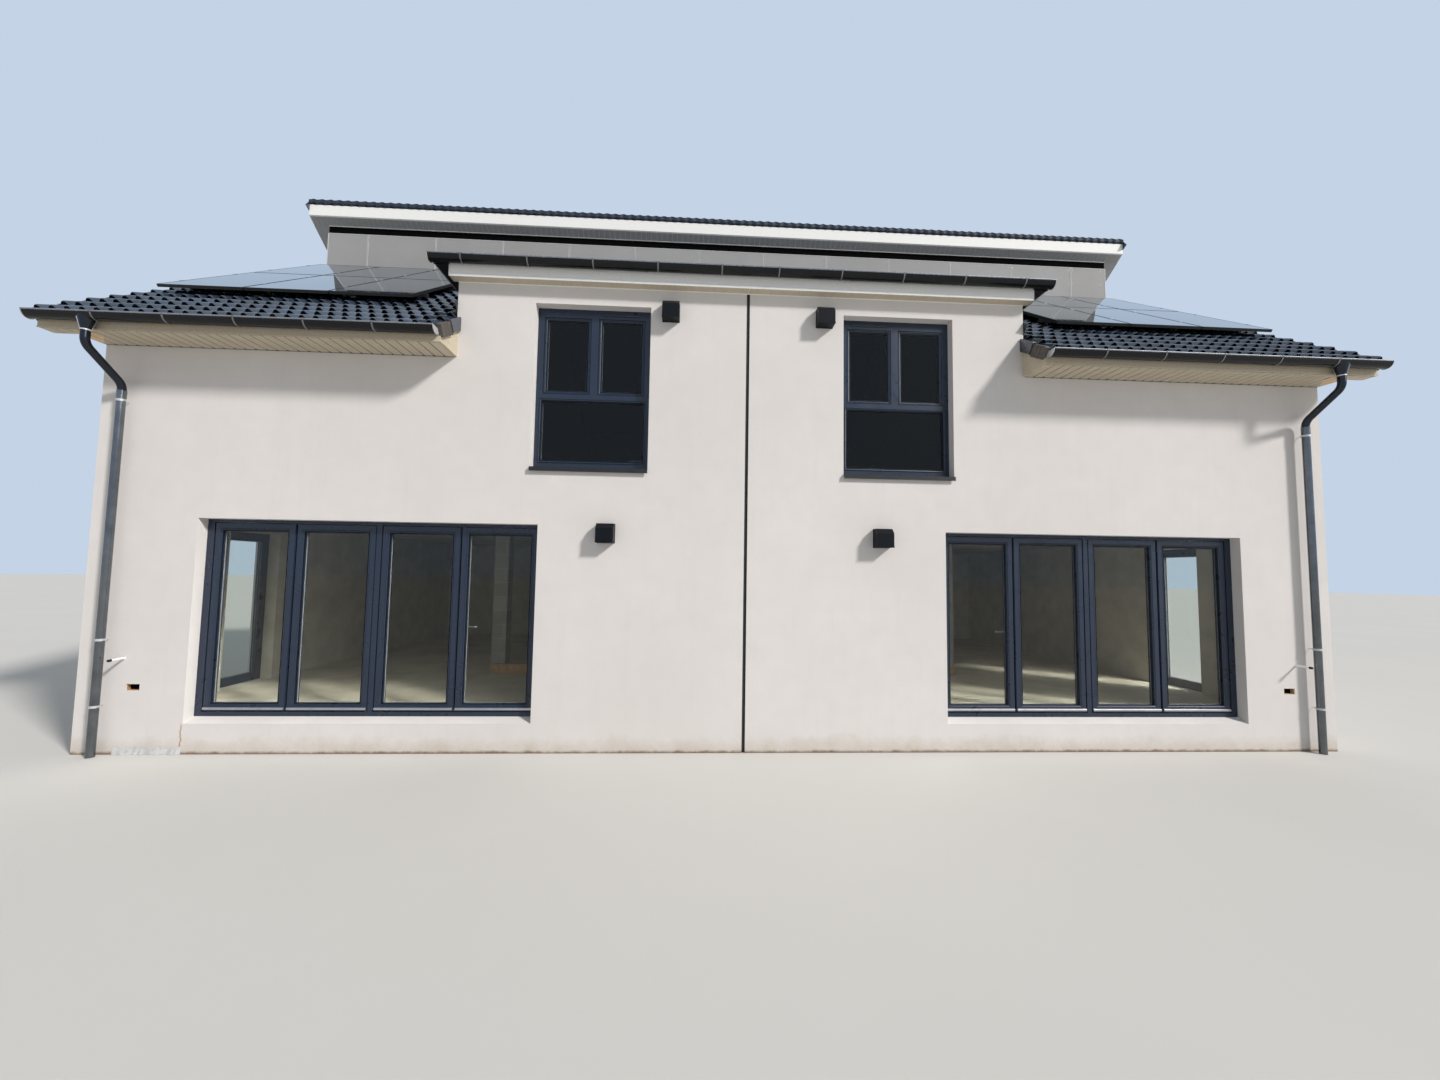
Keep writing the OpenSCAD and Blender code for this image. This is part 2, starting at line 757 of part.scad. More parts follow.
module window_panes() {
    color("lightblue", 0.4) {
        both_halves() front_and_rear()
            window_panes_of(window_x, window_x + window_w, window_z0, window_z1,
                            window_z0 + transom_h);
        both_halves() in_gable()
            window_panes_of(-window_w / 2, window_w / 2, window_z0, window_z1,
                            window_z0 + transom_h);
        both_halves() from_rear()
            window_panes_of(rear_window_x, rear_window_x + rear_window_w,
                            floor_z + rear_window_sill, door_head_z,
                            floor_z + rear_window_sill + 500);
        both_halves() in_gable()
            box(side_x0 + window_face + sash_w, side_x0 + side_window_w - window_face - sash_w,
                pane_y, pane_y + pane_t, floor_z + window_face + sash_w,
                side_window_z1 - window_face - sash_w);
    }
}

// Folded sheet that falls from the frame to a nose in front of the facade
module sill(x0, x1, z0) {
    along_x(x0, x1) polygon([
        [-40, z0 - 52], [-40, z0 - 2], [frame_set, z0 + 26], [frame_set, z0],
        [0, z0], [-28, z0 - 16], [-28, z0 - 52]]);
}

module window_sills() {
    color("darkslategray") both_halves() {
        front_and_rear() sill(window_x, window_x + window_w, window_z0);
        in_gable() sill(-window_w / 2, window_w / 2, window_z0);
        from_rear()
            sill(rear_window_x, rear_window_x + rear_window_w, floor_z + rear_window_sill);
    }
}

// Dark hoods on the wall beside the window and beside the doors
module wall_hoods() {
    color("darkslategray") both_halves() from_facade() for (p = hoods)
        translate([p[0] - hood_w / 2, 0, p[1]]) along_x(0, hood_w) polygon([
            [0, 0], [0, hood_h], [hood_slant - hood_d, hood_h],
            [-hood_d, hood_h - hood_slant], [-hood_d, 0]]);
}

// Outer frames of the two door pairs with the post between them, and the fixed hinge halves
module glazed_door_frames() {
    y1 = frame_set + frame_d;
    mid_x = (frame_x0 + frame_x1) / 2;
    color("darkslategray") both_halves() from_facade() {
        difference() {
            box(frame_x0, frame_x1, frame_set, y1, floor_z, frame_z1);
            for (x = [frame_x0 + frame_face, mid_x + post_w / 2])
                box(x, x + unit_w, frame_set - 1, y1 + 1, floor_z + frame_foot,
                    frame_z1 - frame_face);
        }
        for (i = [1 : 4], z = hinge_zs) {
            s = hinge_side(i);
            translate([hinge_x(i), hinge_y, z]) {
                cylinder(r = knuckle_r, h = knuckle_h);
                cylinder(r = pin_r, h = 2 * knuckle_h);
                translate([s > 0 ? 0 : -fixed_flap_w, -hinge_out, 0])
                    cube([fixed_flap_w, flap_t, knuckle_h]);
                translate([s > 0 ? 0 : -flap_t, -hinge_out, 0])
                    cube([flap_t, hinge_out, knuckle_h]);
            }
        }
    }
}

// Leaves are counted from the gable. Leaves 1 and 3 hang on their side nearest the gable.
function hinge_side(i) = (i % 2 == 1) ? 1 : -1;
function leaf_x0(i) = i == 1 ? frame_x1 - frame_face - leaf_gap - leaf_w
    : i == 2 ? frame_x1 - frame_face - leaf_gap - 2 * leaf_w - meet_gap
    : i == 3 ? frame_x0 + frame_face + leaf_gap + leaf_w + meet_gap
    : frame_x0 + frame_face + leaf_gap;
function hinge_x(i) = hinge_side(i) > 0 ? leaf_x0(i) + leaf_w + leaf_gap / 2
    : leaf_x0(i) - leaf_gap / 2;

// One leaf with its glazing frame, its drip bar and its hinge halves
module leaf(i) {
    x0 = leaf_x0(i);
    x1 = x0 + leaf_w;
    s = hinge_side(i);
    difference() {
        union() {
            ring(x0, x1, leaf_y0, leaf_y0 + leaf_t, leaf_z0, leaf_z1, stile_w);
            box(x0 + 12, x1 - 12, leaf_y0 - drip_out, leaf_y0, leaf_z0 + drip_rise,
                leaf_z0 + drip_rise + drip_h);
            for (z = hinge_zs)
                translate([hinge_x(i), hinge_y, z + knuckle_h + 1]) {
                    cylinder(r = knuckle_r, h = knuckle_h - 2);
                    translate([s > 0 ? -leaf_flap_w : 0, -hinge_out, 0])
                        cube([leaf_flap_w, flap_t, knuckle_h - 2]);
                    translate([s > 0 ? -flap_t : 0, -hinge_out, 0])
                        cube([flap_t, hinge_out, knuckle_h - 2]);
                }
        }
        for (z = hinge_zs)
            translate([hinge_x(i), hinge_y, z + knuckle_h - 1])
                cylinder(r = pin_r + slip, h = knuckle_h + 2);
    }
}

module pane(i) {
    y0 = leaf_y0 + (leaf_t - pane_t) / 2;
    box(leaf_x0(i) + stile_w, leaf_x0(i) + leaf_w - stile_w, y0, y0 + pane_t,
        leaf_z0 + stile_w, leaf_z1 - stile_w);
}

module leaf_right(i) {
    color("darkslategray") from_facade() leaf(i);
}

module leaf_left(i) {
    mirror([1, 0, 0]) leaf_right(i);
}

module pane_right(i) {
    color("lightblue", 0.4) from_facade() pane(i);
}

module pane_left(i) {
    mirror([1, 0, 0]) pane_right(i);
}

// Closed door whose leaf lies a little behind its frame's face
module entrance_doors() {
    x1 = rear_door_x + rear_door_w;
    color("darkslategray") both_halves() from_rear() difference() {
        box(rear_door_x, x1, frame_set, frame_set + frame_d, floor_z, door_head_z);
        box(rear_door_x + window_face, x1 - window_face, frame_set - 1, frame_set + sash_set,
            floor_z + 20, door_head_z - window_face);
    }
}

// Blockwork pier in each living room
module inner_piers() {
    color("lightgray") both_halves() from_facade()
        box(pier_x, pier_x + pier_w, pier_y, pier_y + pier_w, floor_z,
            upper_z - upper_floor_t);
}

ground_slabs();
upper_floors();
front_piers();
door_thresholds();
front_bands();
rear_ground_walls();
knee_walls();
raised_walls();
gable_ground_walls();
gable_upper_walls();
party_walls();
joint_strips();
clerestory_wall();
clerestory_panels();
vent_strip();
front_decks();
rear_deck();
raised_decks();
front_tiles();
rear_tiles();
raised_tiles();
raised_cheeks();
low_eave_boards();
raised_eave_boards();
top_boards();
gutters();
downpipes();
solar_modules();
solar_rails();
window_frames();
window_panes();
window_sills();
wall_hoods();
glazed_door_frames();
entrance_doors();
inner_piers();
leaf_left(1);  // leaf_left_1
leaf_left(2);  // leaf_left_2
leaf_left(3);  // leaf_left_3
leaf_left(4);  // leaf_left_4
leaf_right(1);  // leaf_right_1
leaf_right(2);  // leaf_right_2
leaf_right(3);  // leaf_right_3
leaf_right(4);  // leaf_right_4
pane_left(1);  // pane_left_1
pane_left(2);  // pane_left_2
pane_left(3);  // pane_left_3
pane_left(4);  // pane_left_4
pane_right(1);  // pane_right_1
pane_right(2);  // pane_right_2
pane_right(3);  // pane_right_3
pane_right(4);  // pane_right_4
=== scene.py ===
"""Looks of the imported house: finishes, roof tiles, boards, fittings, lamps and camera.

Metres, in the frame of the CAD part: X along the facades, Y from the garden to the
rear, Z up from the ground, the origin under the middle of the house. Inside the
functions, y counts inwards from a facade's outer face unless a point is placed.
"""

import math
import random
from typing import NamedTuple

import bmesh
import bpy
from mathutils import Matrix, Vector


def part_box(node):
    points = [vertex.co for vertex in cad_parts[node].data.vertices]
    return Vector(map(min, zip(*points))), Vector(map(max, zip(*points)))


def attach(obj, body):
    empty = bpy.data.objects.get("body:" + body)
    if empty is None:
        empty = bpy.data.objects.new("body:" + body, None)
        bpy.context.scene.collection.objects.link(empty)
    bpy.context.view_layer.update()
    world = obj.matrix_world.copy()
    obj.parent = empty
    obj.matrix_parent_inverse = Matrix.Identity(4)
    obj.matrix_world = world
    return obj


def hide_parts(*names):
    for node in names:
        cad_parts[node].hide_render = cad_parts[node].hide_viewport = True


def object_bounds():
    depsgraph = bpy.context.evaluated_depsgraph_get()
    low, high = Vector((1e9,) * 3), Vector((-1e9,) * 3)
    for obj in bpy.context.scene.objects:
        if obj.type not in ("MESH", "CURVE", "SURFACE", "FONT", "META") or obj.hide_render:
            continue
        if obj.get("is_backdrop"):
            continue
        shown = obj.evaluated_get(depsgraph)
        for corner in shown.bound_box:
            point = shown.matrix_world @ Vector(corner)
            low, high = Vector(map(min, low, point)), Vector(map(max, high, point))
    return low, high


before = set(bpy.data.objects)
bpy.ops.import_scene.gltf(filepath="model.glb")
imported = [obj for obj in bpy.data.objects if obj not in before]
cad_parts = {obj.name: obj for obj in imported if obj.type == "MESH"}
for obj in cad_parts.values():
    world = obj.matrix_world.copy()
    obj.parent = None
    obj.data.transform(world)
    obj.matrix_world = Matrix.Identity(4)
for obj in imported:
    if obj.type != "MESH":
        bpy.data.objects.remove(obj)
cad_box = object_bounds()
random.seed(7)

# Building, as in the CAD source
HALF_W = 7.6
HALF_D = 4.28
JOINT_W = 0.04
FLOOR_Z = 0.39
UPPER_Z = 3.1
PITCH = math.radians(35)
COVER_T = 0.055
DECK_T = 0.145
BOARD_T = 0.018
VERGE_DROP = 0.094
EDGE = HALF_W + 0.28
RAISED_X = 3.58
RAISED_EDGE = RAISED_X + 0.23
RAISED_BOX_X = RAISED_X + 0.06
RAISED_VERGE_Z = 5.812
CLAD_RISE = 1.162
CLAD_Y = HALF_D - CLAD_RISE / math.tan(PITCH) / 2
CLAD_CAVITY = 0.018
PANEL_T = 0.012
PANEL_PITCH = 1.25
PANEL_GAP = 0.008
PANEL_FOOT = 0.07
VENT_H = 0.165
TOP_OUT = 0.134
GUTTER_R = 0.075
GUTTER_END = HALF_W + 0.285
PIPE_X = HALF_W - 0.31
PIPE_Y = 0.09

# Openings
DOOR_X0 = 2.52
DOOR_X1 = 6.42
DOOR_HEAD_Z = 2.7
FRAME_LAP = 0.08
FRAME_LAP_OUT = 0.01
HEAD_LAP = 0.054
FRAME_FOOT = 0.05
FRAME_SET = 0.13
FRAME_D = 0.08
FRAME_FACE = 0.09
POST_W = 0.06
STILE_W = 0.093
LEAF_T = 0.07
LEAF_GAP = 0.006
MEET_GAP = 0.014
WINDOW_X = 1.22
WINDOW_W = 1.42
WINDOW_Z0 = 3.4
WINDOW_Z1 = 5.45
TRANSOM_H = 0.908
WINDOW_FACE = 0.08
WINDOW_RAIL = 0.112
BAR_W = 0.094
SASH_W = 0.045
SASH_SET = 0.014
PANE_T = 0.024
PANE_Y = FRAME_SET + (FRAME_D - PANE_T) / 2
SIDE_X0 = 1.4 - HALF_D
SIDE_W = 0.9
SIDE_Z1 = DOOR_HEAD_Z - 0.05
REAR_WINDOW_X = 3.1
REAR_WINDOW_W = 1.4
REAR_WINDOW_Z0 = FLOOR_Z + 0.9
REAR_TRANSOM_H = 0.5
REAR_DOOR_X0 = 0.9
REAR_DOOR_X1 = 2.0

# Solar modules
MODULE_W = 1.05
MODULE_L = 1.7
MODULE_GAP = 0.013
MODULE_LIFT = 0.085
MODULE_T = 0.035
MODULE_Y = 0.53
MODULE_MARGIN = 0.31
MODULE_COLS = 3
MODULE_ROWS = 2

# Quarters of the house: side 1 is towards +X, way 1 the garden facade. What spans both
# dwellings is placed once.
HALVES = (1, -1)
FRONT = (1,)
REAR = (-1,)
SPAN = (1,)


class Roof(NamedTuple):
    """A plane of tiles over a facade, with the boards of its eave.

    Its front row of tiles can lie flatter than the others, behind the gutter's rim.
    """

    eave_z: float
    out: float
    pitch: float
    fascia_out: float
    soffit_z: float
    eave_lift: float
    eave_hump: float

    def top(self, y):
        return self.eave_z + math.tan(self.pitch) * (y + self.out)

    def deck_top(self, y):
        return self.top(y) - COVER_T / math.cos(self.pitch)

    def under(self, y):
        return self.deck_top(y) - DECK_T / math.cos(self.pitch)

    def rim_z(self):
        return self.eave_z - COVER_T * math.cos(self.pitch) - 0.002

    def length(self, y):
        """Way up the slope from the eave to y."""
        return (y + self.out) / math.cos(self.pitch)

    def at(self, x, s, h):
        """Point at x along the eave, s up the slope and h off the tiles' plane."""
        rise, run = math.sin(self.pitch), math.cos(self.pitch)
        return x, s * run - h * rise - self.out, self.eave_z + s * rise + h * run


MAIN = Roof(eave_z=4.915, out=0.5, pitch=PITCH, fascia_out=0.42, soffit_z=4.735,
            eave_lift=0.018, eave_hump=0.054)
RAISED_EAVE_Z = 5.927
RAISED_OUT = 0.21
RAISED_PITCH = math.atan((MAIN.top(CLAD_Y) - RAISED_EAVE_Z) / (CLAD_Y + RAISED_OUT))
RAISED = Roof(eave_z=RAISED_EAVE_Z, out=RAISED_OUT, pitch=RAISED_PITCH, fascia_out=0.13,
              soffit_z=5.68, eave_lift=0.005, eave_hump=0.022)
CLAD_FACE = CLAD_Y + PANEL_T + CLAD_CAVITY
RIDGE_Y = 2 * HALF_D - CLAD_Y + TOP_OUT

# Downpipes, in a slimmer standard size than the CAD ones that they stand for
PIPE_R = 0.04
FUNNEL_R = 0.072
FUNNEL_Y = -MAIN.fascia_out - GUTTER_R
NECK_Z = MAIN.rim_z() - GUTTER_R - 0.253
NECK_TURN = math.radians(52)
NECK_BEND = 0.14
NECK_REACH = NECK_BEND * math.tan(NECK_TURN / 2)
NECK_STEPS = 10
PIPE_TOP = NECK_Z - (-PIPE_Y - FUNNEL_Y) / math.tan(NECK_TURN) - NECK_REACH
FUNNEL_Z = NECK_Z + 0.15
CLAMP_ZS = (0.54, 1.28, PIPE_TOP - 0.13)
CLAMP_H = 0.026


# Shapes

def quarter(side, way):
    """Placement in one quarter."""
    return lambda x, y, z: (side * x, way * (y - HALF_D), z)


def gable(side):
    """Placement in a gable, x counted along it from its middle and y inwards."""
    return lambda x, y, z: (side * (HALF_W - y), x, z)


def quarters(*shapes, sides=HALVES, ways=HALVES):
    """Goes through quarters of the house, with the shapes placed in each in turn."""
    for side in sides:
        for way in ways:
            for shape in shapes:
                shape.place = quarter(side, way)
            yield side, way


def circle(sides):
    """Cosine and sine of even steps round a circle."""
    angles = [2 * math.pi * k / sides for k in range(sides)]
    return [(math.cos(a), math.sin(a)) for a in angles]


def arc(y, z, radius, start, end, steps):
    """Points of (y, z) on an arc, its angles in degrees from +y towards +z."""
    angles = [math.radians(start + (end - start) * k / steps) for k in range(steps + 1)]
    return [(y + radius * math.cos(a), z + radius * math.sin(a)) for a in angles]


def even_steps(length, step):
    """How many equal steps of about the given size fill a length, and their true size."""
    count = max(1, round(length / step))
    return count, length / count


class Shape:
    """Closed shells gathered for one piece."""

    def __init__(self, place=None):
        self.points = []
        self.faces = []
        self.uvs = []
        self.tones = []
        self.place = place or (lambda x, y, z: (x, y, z))

    def put(self, points, faces):
        start = len(self.points)
        self.points += [self.place(*p) for p in points]
        self.faces += [[start + i for i in face] for face in faces]

    def box(self, x0, x1, y0, y1, z0, z1):
        """Box between two values of x in any order, and rising ones of y and z."""
        self.along_x([(y0, z0), (y1, z0), (y1, z1), (y0, z1)], *sorted((x0, x1)))

    def along_x(self, profile, x0, x1):
        """Prism of a profile of (y, z) from x0 to x1."""
        self.bridge([[(x, y, z) for y, z in profile] for x in (x0, x1)])

    def bridge(self, loops, closed=False):
        """Skin over loops of equally many points, with end caps unless it closes."""
        n = len(loops[0])
        faces = []
        last = len(loops) if closed else len(loops) - 1
        for k in range(last):
            a = k * n
            b = (k + 1) % len(loops) * n
            for i in range(n):
                j = (i + 1) % n
                faces.append([a + i, a + j, b + j, b + i])
        if not closed:
            faces.append(list(range(n)))
            faces.append([last * n + i for i in range(n)])
        self.put([p for loop in loops for p in loop], faces)

    def ring(self, x0, x1, z0, z1, profile):
        """Mitred frame: profile holds (inset from the outer edge, y)."""
        corners = []
        for cx, cz in ((0, 0), (1, 0), (1, 1), (0, 1)):
            loop = []
            for inset, y in profile:
                x = x1 - inset if cx else x0 + inset
                z = z1 - inset if cz else z0 + inset
                loop.append((x, y, z))
            corners.append(loop)
        self.bridge(corners, closed=True)

    def turned(self, x, y, profile, sides=32):
        """Solid of revolution about an upright axis, profile of (radius, z)."""
        loops = [[(x + r * c, y + r * s, z) for r, z in profile] for c, s in circle(sides)]
        self.bridge(loops, closed=True)

    def tube(self, path, radius, sides=12):
        """Round bar along a path of points."""
        path = [Vector(p) for p in path]
        loops = []
        side = None
        for i, p in enumerate(path):
            ahead = (path[min(i + 1, len(path) - 1)] - path[max(i - 1, 0)]).normalized()
            if side is None:
                side = ahead.orthogonal().normalized()
            side = (side - ahead * side.dot(ahead)).normalized()
            other = ahead.cross(side)
            loops.append([tuple(p + radius * (c * side + s * other)) for c, s in circle(sides)])
        self.bridge(loops)


def blank(count, place=None):
    """Several empty shapes."""
    return [Shape(place) for _ in range(count)]


def add_object(name, data):
    """Puts a mesh, lamp or camera into the scene."""
    made = bpy.data.objects.new(name, data)
    bpy.context.scene.collection.objects.link(made)
    return made


def piece(name, shape, look, body="house", slot=None, bevel=0.0, smooth=0, replaces=()):
    """Makes the mesh object of a shape, which rides on a body."""
    mesh = bpy.data.meshes.new(name)
    mesh.from_pydata(shape.points, [], shape.faces)
    work = bmesh.new()
    work.from_mesh(mesh)
    bmesh.ops.recalc_face_normals(work, faces=work.faces)
    work.to_mesh(mesh)
    work.free()
    if shape.uvs:
        layer = mesh.uv_layers.new(name="slope")
        for loop in mesh.loops:
            layer.data[loop.index].uv = shape.uvs[loop.vertex_index]
    if smooth:
        mesh.shade_smooth()
        mesh.set_sharp_from_angle(angle=math.radians(smooth))
    mesh.materials.append(look)
    made = add_object(name, mesh)
    if bevel:
        soften(made, bevel)
    slot or SLOTS[look.name]
    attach(made, body)
    if replaces:
        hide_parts(*replaces)
    if shape.tones:
        layer = mesh.attributes.new("tone", "FLOAT", "POINT")
        layer.data.foreach_set("value", shape.tones)


def soften(made, width):
    """Breaks the sharp edges of an object."""
    bevel = made.modifiers.new("edges", "BEVEL")
    bevel.width = width
    bevel.segments = 1
    bevel.limit_method = "ANGLE"
    bevel.angle_limit = math.radians(35)
    bevel.use_clamp_overlap = True


# Looks

def srgb(colour):
    """Linear form of an 8-bit colour. A node's output passes as it is."""
    if isinstance(colour, bpy.types.NodeSocket):
        return colour
    parts = [value / 255 for value in colour]
    parts = [v / 12.92 if v <= 0.04045 else ((v + 0.055) / 1.055) ** 2.4 for v in parts]
    return (*parts, 1.0)


class Graph:
    """The nodes of a material or of the world."""

    def __init__(self, owner):
        owner.use_nodes = True
        self.nodes = owner.node_tree.nodes
        self.links = owner.node_tree.links

    def feed(self, socket, value):
        """Links an output to a socket, or sets it to a plain value."""
        if isinstance(value, bpy.types.NodeSocket):
            self.links.new(value, socket)
        else:
            socket.default_value = value

    def fill(self, node, inputs):
        """Links or sets the named inputs of a node."""
        for key, value in inputs.items():
            self.feed(node.inputs[key], value)

    def node(self, kind, inputs=None, **settings):
        made = self.nodes.new(kind)
        for key, value in settings.items():
            setattr(made, key, value)
        self.fill(made, inputs or {})
        return made

    def math(self, operation, *values):
        return self.node("ShaderNodeMath", dict(enumerate(values)), operation=operation).outputs[0]

    def product(self, first, *others):
        for other in others:
            first = self.math("MULTIPLY", first, other)
        return first


class Look(Graph):
    """A node material, with object coordinates and one Principled shader.

    Colours are given in 8 bits.
    """

    def __init__(self, name, colour, rough, metallic=0.0, more=None):
        self.material = bpy.data.materials.new(name)
        super().__init__(self.material)
        self.shader = self.nodes["Principled BSDF"]
        self.fill(self.shader, {"Base Color": srgb(colour), "Roughness": rough, "Metallic": metallic})
        self.fill(self.shader, more or {})
        self.where = self.node("ShaderNodeTexCoord").outputs["Object"]

    def stretched(self, x, y, z):
        """Object coordinates scaled along each axis."""
        return self.node("ShaderNodeMapping", {"Vector": self.where, "Scale": (x, y, z)}).outputs[0]

    def axes(self):
        return self.node("ShaderNodeSeparateXYZ", {0: self.where}).outputs

    def noise(self, scale, detail, rough, source=None):
        made = self.node("ShaderNodeTexNoise", {
            "Vector": source or self.where, "Scale": scale, "Detail": detail, "Roughness": rough})
        return made.outputs["Fac"]

    def ramp(self, factor, *colours, at=(0.3, 0.7)):
        """Blend of colours that lie at the given places of a factor."""
        made = self.node("ShaderNodeValToRGB", {0: factor})
        elements = made.color_ramp.elements
        while len(elements) < len(colours):
            elements.new(0.5)
        for element, position, colour in zip(elements, at, colours):
            element.position = position
            element.color = srgb(colour)
        return made.outputs["Color"]

    def spread(self, factor, low, high, out_low=0.0, out_high=1.0):
        """A factor's range from low to high, brought to another range."""
        made = self.node("ShaderNodeMapRange", {
            "Value": factor, "From Min": low, "From Max": high, "To Min": out_low, "To Max": out_high})
        return made.outputs["Result"]

    def mix(self, factor, a, b):
        made = self.node("ShaderNodeMix", {0: factor, 6: srgb(a), 7: srgb(b)}, data_type="RGBA")
        return made.outputs[2]

    def colour(self, value):
        self.feed(self.shader.inputs["Base Color"], value)

    def rough(self, value):
        self.feed(self.shader.inputs["Roughness"], value)

    def bump(self, height, distance, strength, under=None):
        """Lays a relief over the shader's normal, on top of another one if given."""
        made = self.node("ShaderNodeBump", {"Height": height, "Distance": distance, "Strength": strength})
        if under:
            self.feed(made.inputs["Normal"], under)
        self.feed(self.shader.inputs["Normal"], made.outputs[0])
        return made.outputs[0]


def inside_mask(look):
    """1 on the faces inside the house, 0 on the facades and their reveals."""
    x, y, z = look.axes()
    deep_x = look.math("LESS_THAN", look.math("ABSOLUTE", x), HALF_W - FRAME_SET - 0.01)
    deep_y = look.math("LESS_THAN", look.math("ABSOLUTE", y), HALF_D - FRAME_SET - 0.01)
    return look.product(deep_x, deep_y)


def render_look():
    """Off-white scraped render, soiled at its foot, with bare plaster inside."""
    look = Look("wall_render", (226, 221, 214), 0.92)
    x, y, z = look.axes()
    clouds = look.noise(3.5, 5.0, 0.6)
    colour = look.ramp(look.noise(0.55, 4.0, 0.55), (214, 210, 207), (222, 218, 216))
    colour = look.mix(look.spread(clouds, 0.35, 0.75, 0.0, 0.35), colour, (206, 203, 200))
    runs = look.noise(2.2, 5.0, 0.6, look.stretched(6.0, 6.0, 0.35))
    colour = look.mix(look.spread(runs, 0.55, 0.85, 0.0, 0.25), colour, (205, 199, 192))
    splash = look.math("ADD", z, look.product(look.noise(3.0, 7.0, 0.7), -0.4))
    colour = look.mix(look.spread(splash, -0.2, 0.0, 0.5, 0.0), colour, (176, 160, 138))
    edge = look.math("ADD", z, look.product(look.noise(9.0, 5.0, 0.7), -0.07))
    colour = look.mix(look.spread(edge, -0.03, 0.0, 0.85, 0.0), colour, (108, 82, 56))
    colour = look.mix(crack_mask(look, x, y, z), colour, (168, 112, 62))
    inside = look.ramp(clouds, (190, 182, 168), (210, 203, 191))
    look.colour(look.mix(inside_mask(look), colour, inside))
    waves = look.bump(look.noise(4.0, 2.0, 0.5), 0.004, 0.5)
    look.bump(look.noise(110.0, 5.0, 0.7), 0.003, 0.8, waves)
    return look.material


def crack_mask(look, x, y, z):
    """Fine stained crack in the threshold beside the left doors."""
    wiggle = look.math("MULTIPLY_ADD", look.noise(9.0, 4.0, 0.7, look.stretched(0, 0, 1)), 0.09, -0.045)
    off = look.math("ABSOLUTE", look.math("ADD", look.math("ADD", x, DOOR_X1 + 0.015), wiggle))
    line = look.spread(off, 0.002, 0.012, 1.0, 0.0)
    low = look.spread(z, 0.3, 0.36, 1.0, 0.0)
    high = look.spread(z, 0.02, 0.06)
    front = look.math("LESS_THAN", y, 0.02 - HALF_D)
    return look.product(line, low, high, front, 0.8)


def screed_look():
    look = Look("screed", (150, 146, 138), 0.85)
    look.colour(look.ramp(look.noise(1.6, 6.0, 0.6), (178, 168, 150), (208, 199, 181)))
    look.bump(look.noise(90.0, 4.0, 0.6), 0.002, 0.5)
    return look.material


def blockwork_look():
    """Grey blocks in thin beds."""
    look = Look("blockwork", (150, 147, 141), 0.9)
    x, y, z = look.axes()
    join = look.node("ShaderNodeCombineXYZ", {0: look.math("ADD", x, y), 1: z})
    bricks = look.node("ShaderNodeTexBrick", {
        "Vector": join.outputs[0], "Color1": srgb((156, 152, 145)), "Color2": srgb((140, 137, 131)),
        "Mortar": srgb((172, 168, 160)), "Scale": 1.0, "Mortar Size": 0.004, "Brick Width": 0.5,
        "Row Height": 0.24})
    grime = look.spread(look.noise(7.0, 5.0, 0.6), 0.4, 0.8, 0.0, 0.3)
    look.colour(look.mix(grime, bricks.outputs["Color"], (118, 113, 105)))
    edges = look.bump(bricks.outputs["Fac"], -0.003, 0.6)
    look.bump(look.noise(120.0, 4.0, 0.7), 0.002, 0.6, edges)
    return look.material


def plain_look(name, dark, light, rough, scale=8.0, grain=200.0, depth=0.0004, metallic=0.0,
               specular=0.5):
    """Painted or sheet surface with slight variation in tone and gloss."""
    look = Look(name, dark, rough, metallic, {"Specular IOR Level": specular})
    look.colour(look.ramp(look.noise(scale, 4.0, 0.55), dark, light))
    look.rough(look.spread(look.noise(scale * 3, 4.0, 0.6), 0.3, 0.7, rough - 0.06, rough + 0.08))
    look.bump(look.noise(grain, 3.0, 0.6), depth, 0.5)
    return look.material


def panel_look():
    """Fibre cement with faint runs."""
    look = Look("cement_panel", (132, 132, 133), 0.62)
    runs = look.noise(0.9, 4.0, 0.55, look.stretched(1.0, 1.0, 0.8))
    fleck = look.noise(150.0, 2.0, 0.6)
    colour = look.ramp(runs, (148, 147, 146), (158, 158, 159), at=(0.3, 0.72))
    look.colour(look.mix(look.spread(fleck, 0.5, 0.75, 0.0, 0.25), colour, (130, 130, 132)))
    look.bump(fleck, 0.0006, 0.5)
    return look.material


def wood_look(name, dark, light, boards):
    """Rough sawn boards with grain along Y."""
    look = Look(name, dark, 0.75)
    grain = look.noise(6.0, 6.0, 0.65, look.stretched(9.0, 0.6, 9.0))
    colour = look.ramp(grain, dark, light, at=(0.3, 0.68))
    x, y, z = look.axes()
    gap = look.math("PINGPONG", look.math("ADD", x, 20.0), boards / 2)
    line = look.spread(gap, 0.0, 0.003)
    look.colour(look.mix(line, (46, 33, 22), colour))
    look.bump(grain, 0.002, 0.4, look.bump(line, 0.004, 0.7))
    return look.material


def tile_look(name, rough, coat, specular):
    """Slate-blue engobe, duller and dusty in patches."""
    look = Look(name, (50, 56, 64), rough, more={
        "Specular IOR Level": specular, "Coat Weight": coat, "Coat Roughness": 0.12})
    tone = look.node("ShaderNodeAttribute", attribute_name="tone").outputs["Fac"]
    colour = look.ramp(tone, (34, 42, 54), (42, 52, 66), (52, 64, 80), at=(0.0, 0.5, 1.0))
    dust = look.spread(look.noise(14.0, 6.0, 0.65), 0.45, 0.8, 0.0, 0.3)
    look.colour(look.mix(dust, colour, (80, 84, 88)))
    look.rough(look.spread(look.noise(22.0, 5.0, 0.6), 0.3, 0.75, rough - 0.09, rough + 0.09))
    look.bump(look.noise(180.0, 3.0, 0.6), 0.0008, 0.5)
    return look.material


def board_look(name, dark, light):
    """Painted board, its grain just showing."""
    look = Look(name, dark, 0.55)
    grain = look.noise(9.0, 5.0, 0.6, look.stretched(5.0, 1.0, 5.0))
    look.colour(look.ramp(grain, dark, light))
    look.bump(grain, 0.0008, 0.4)
    return look.material


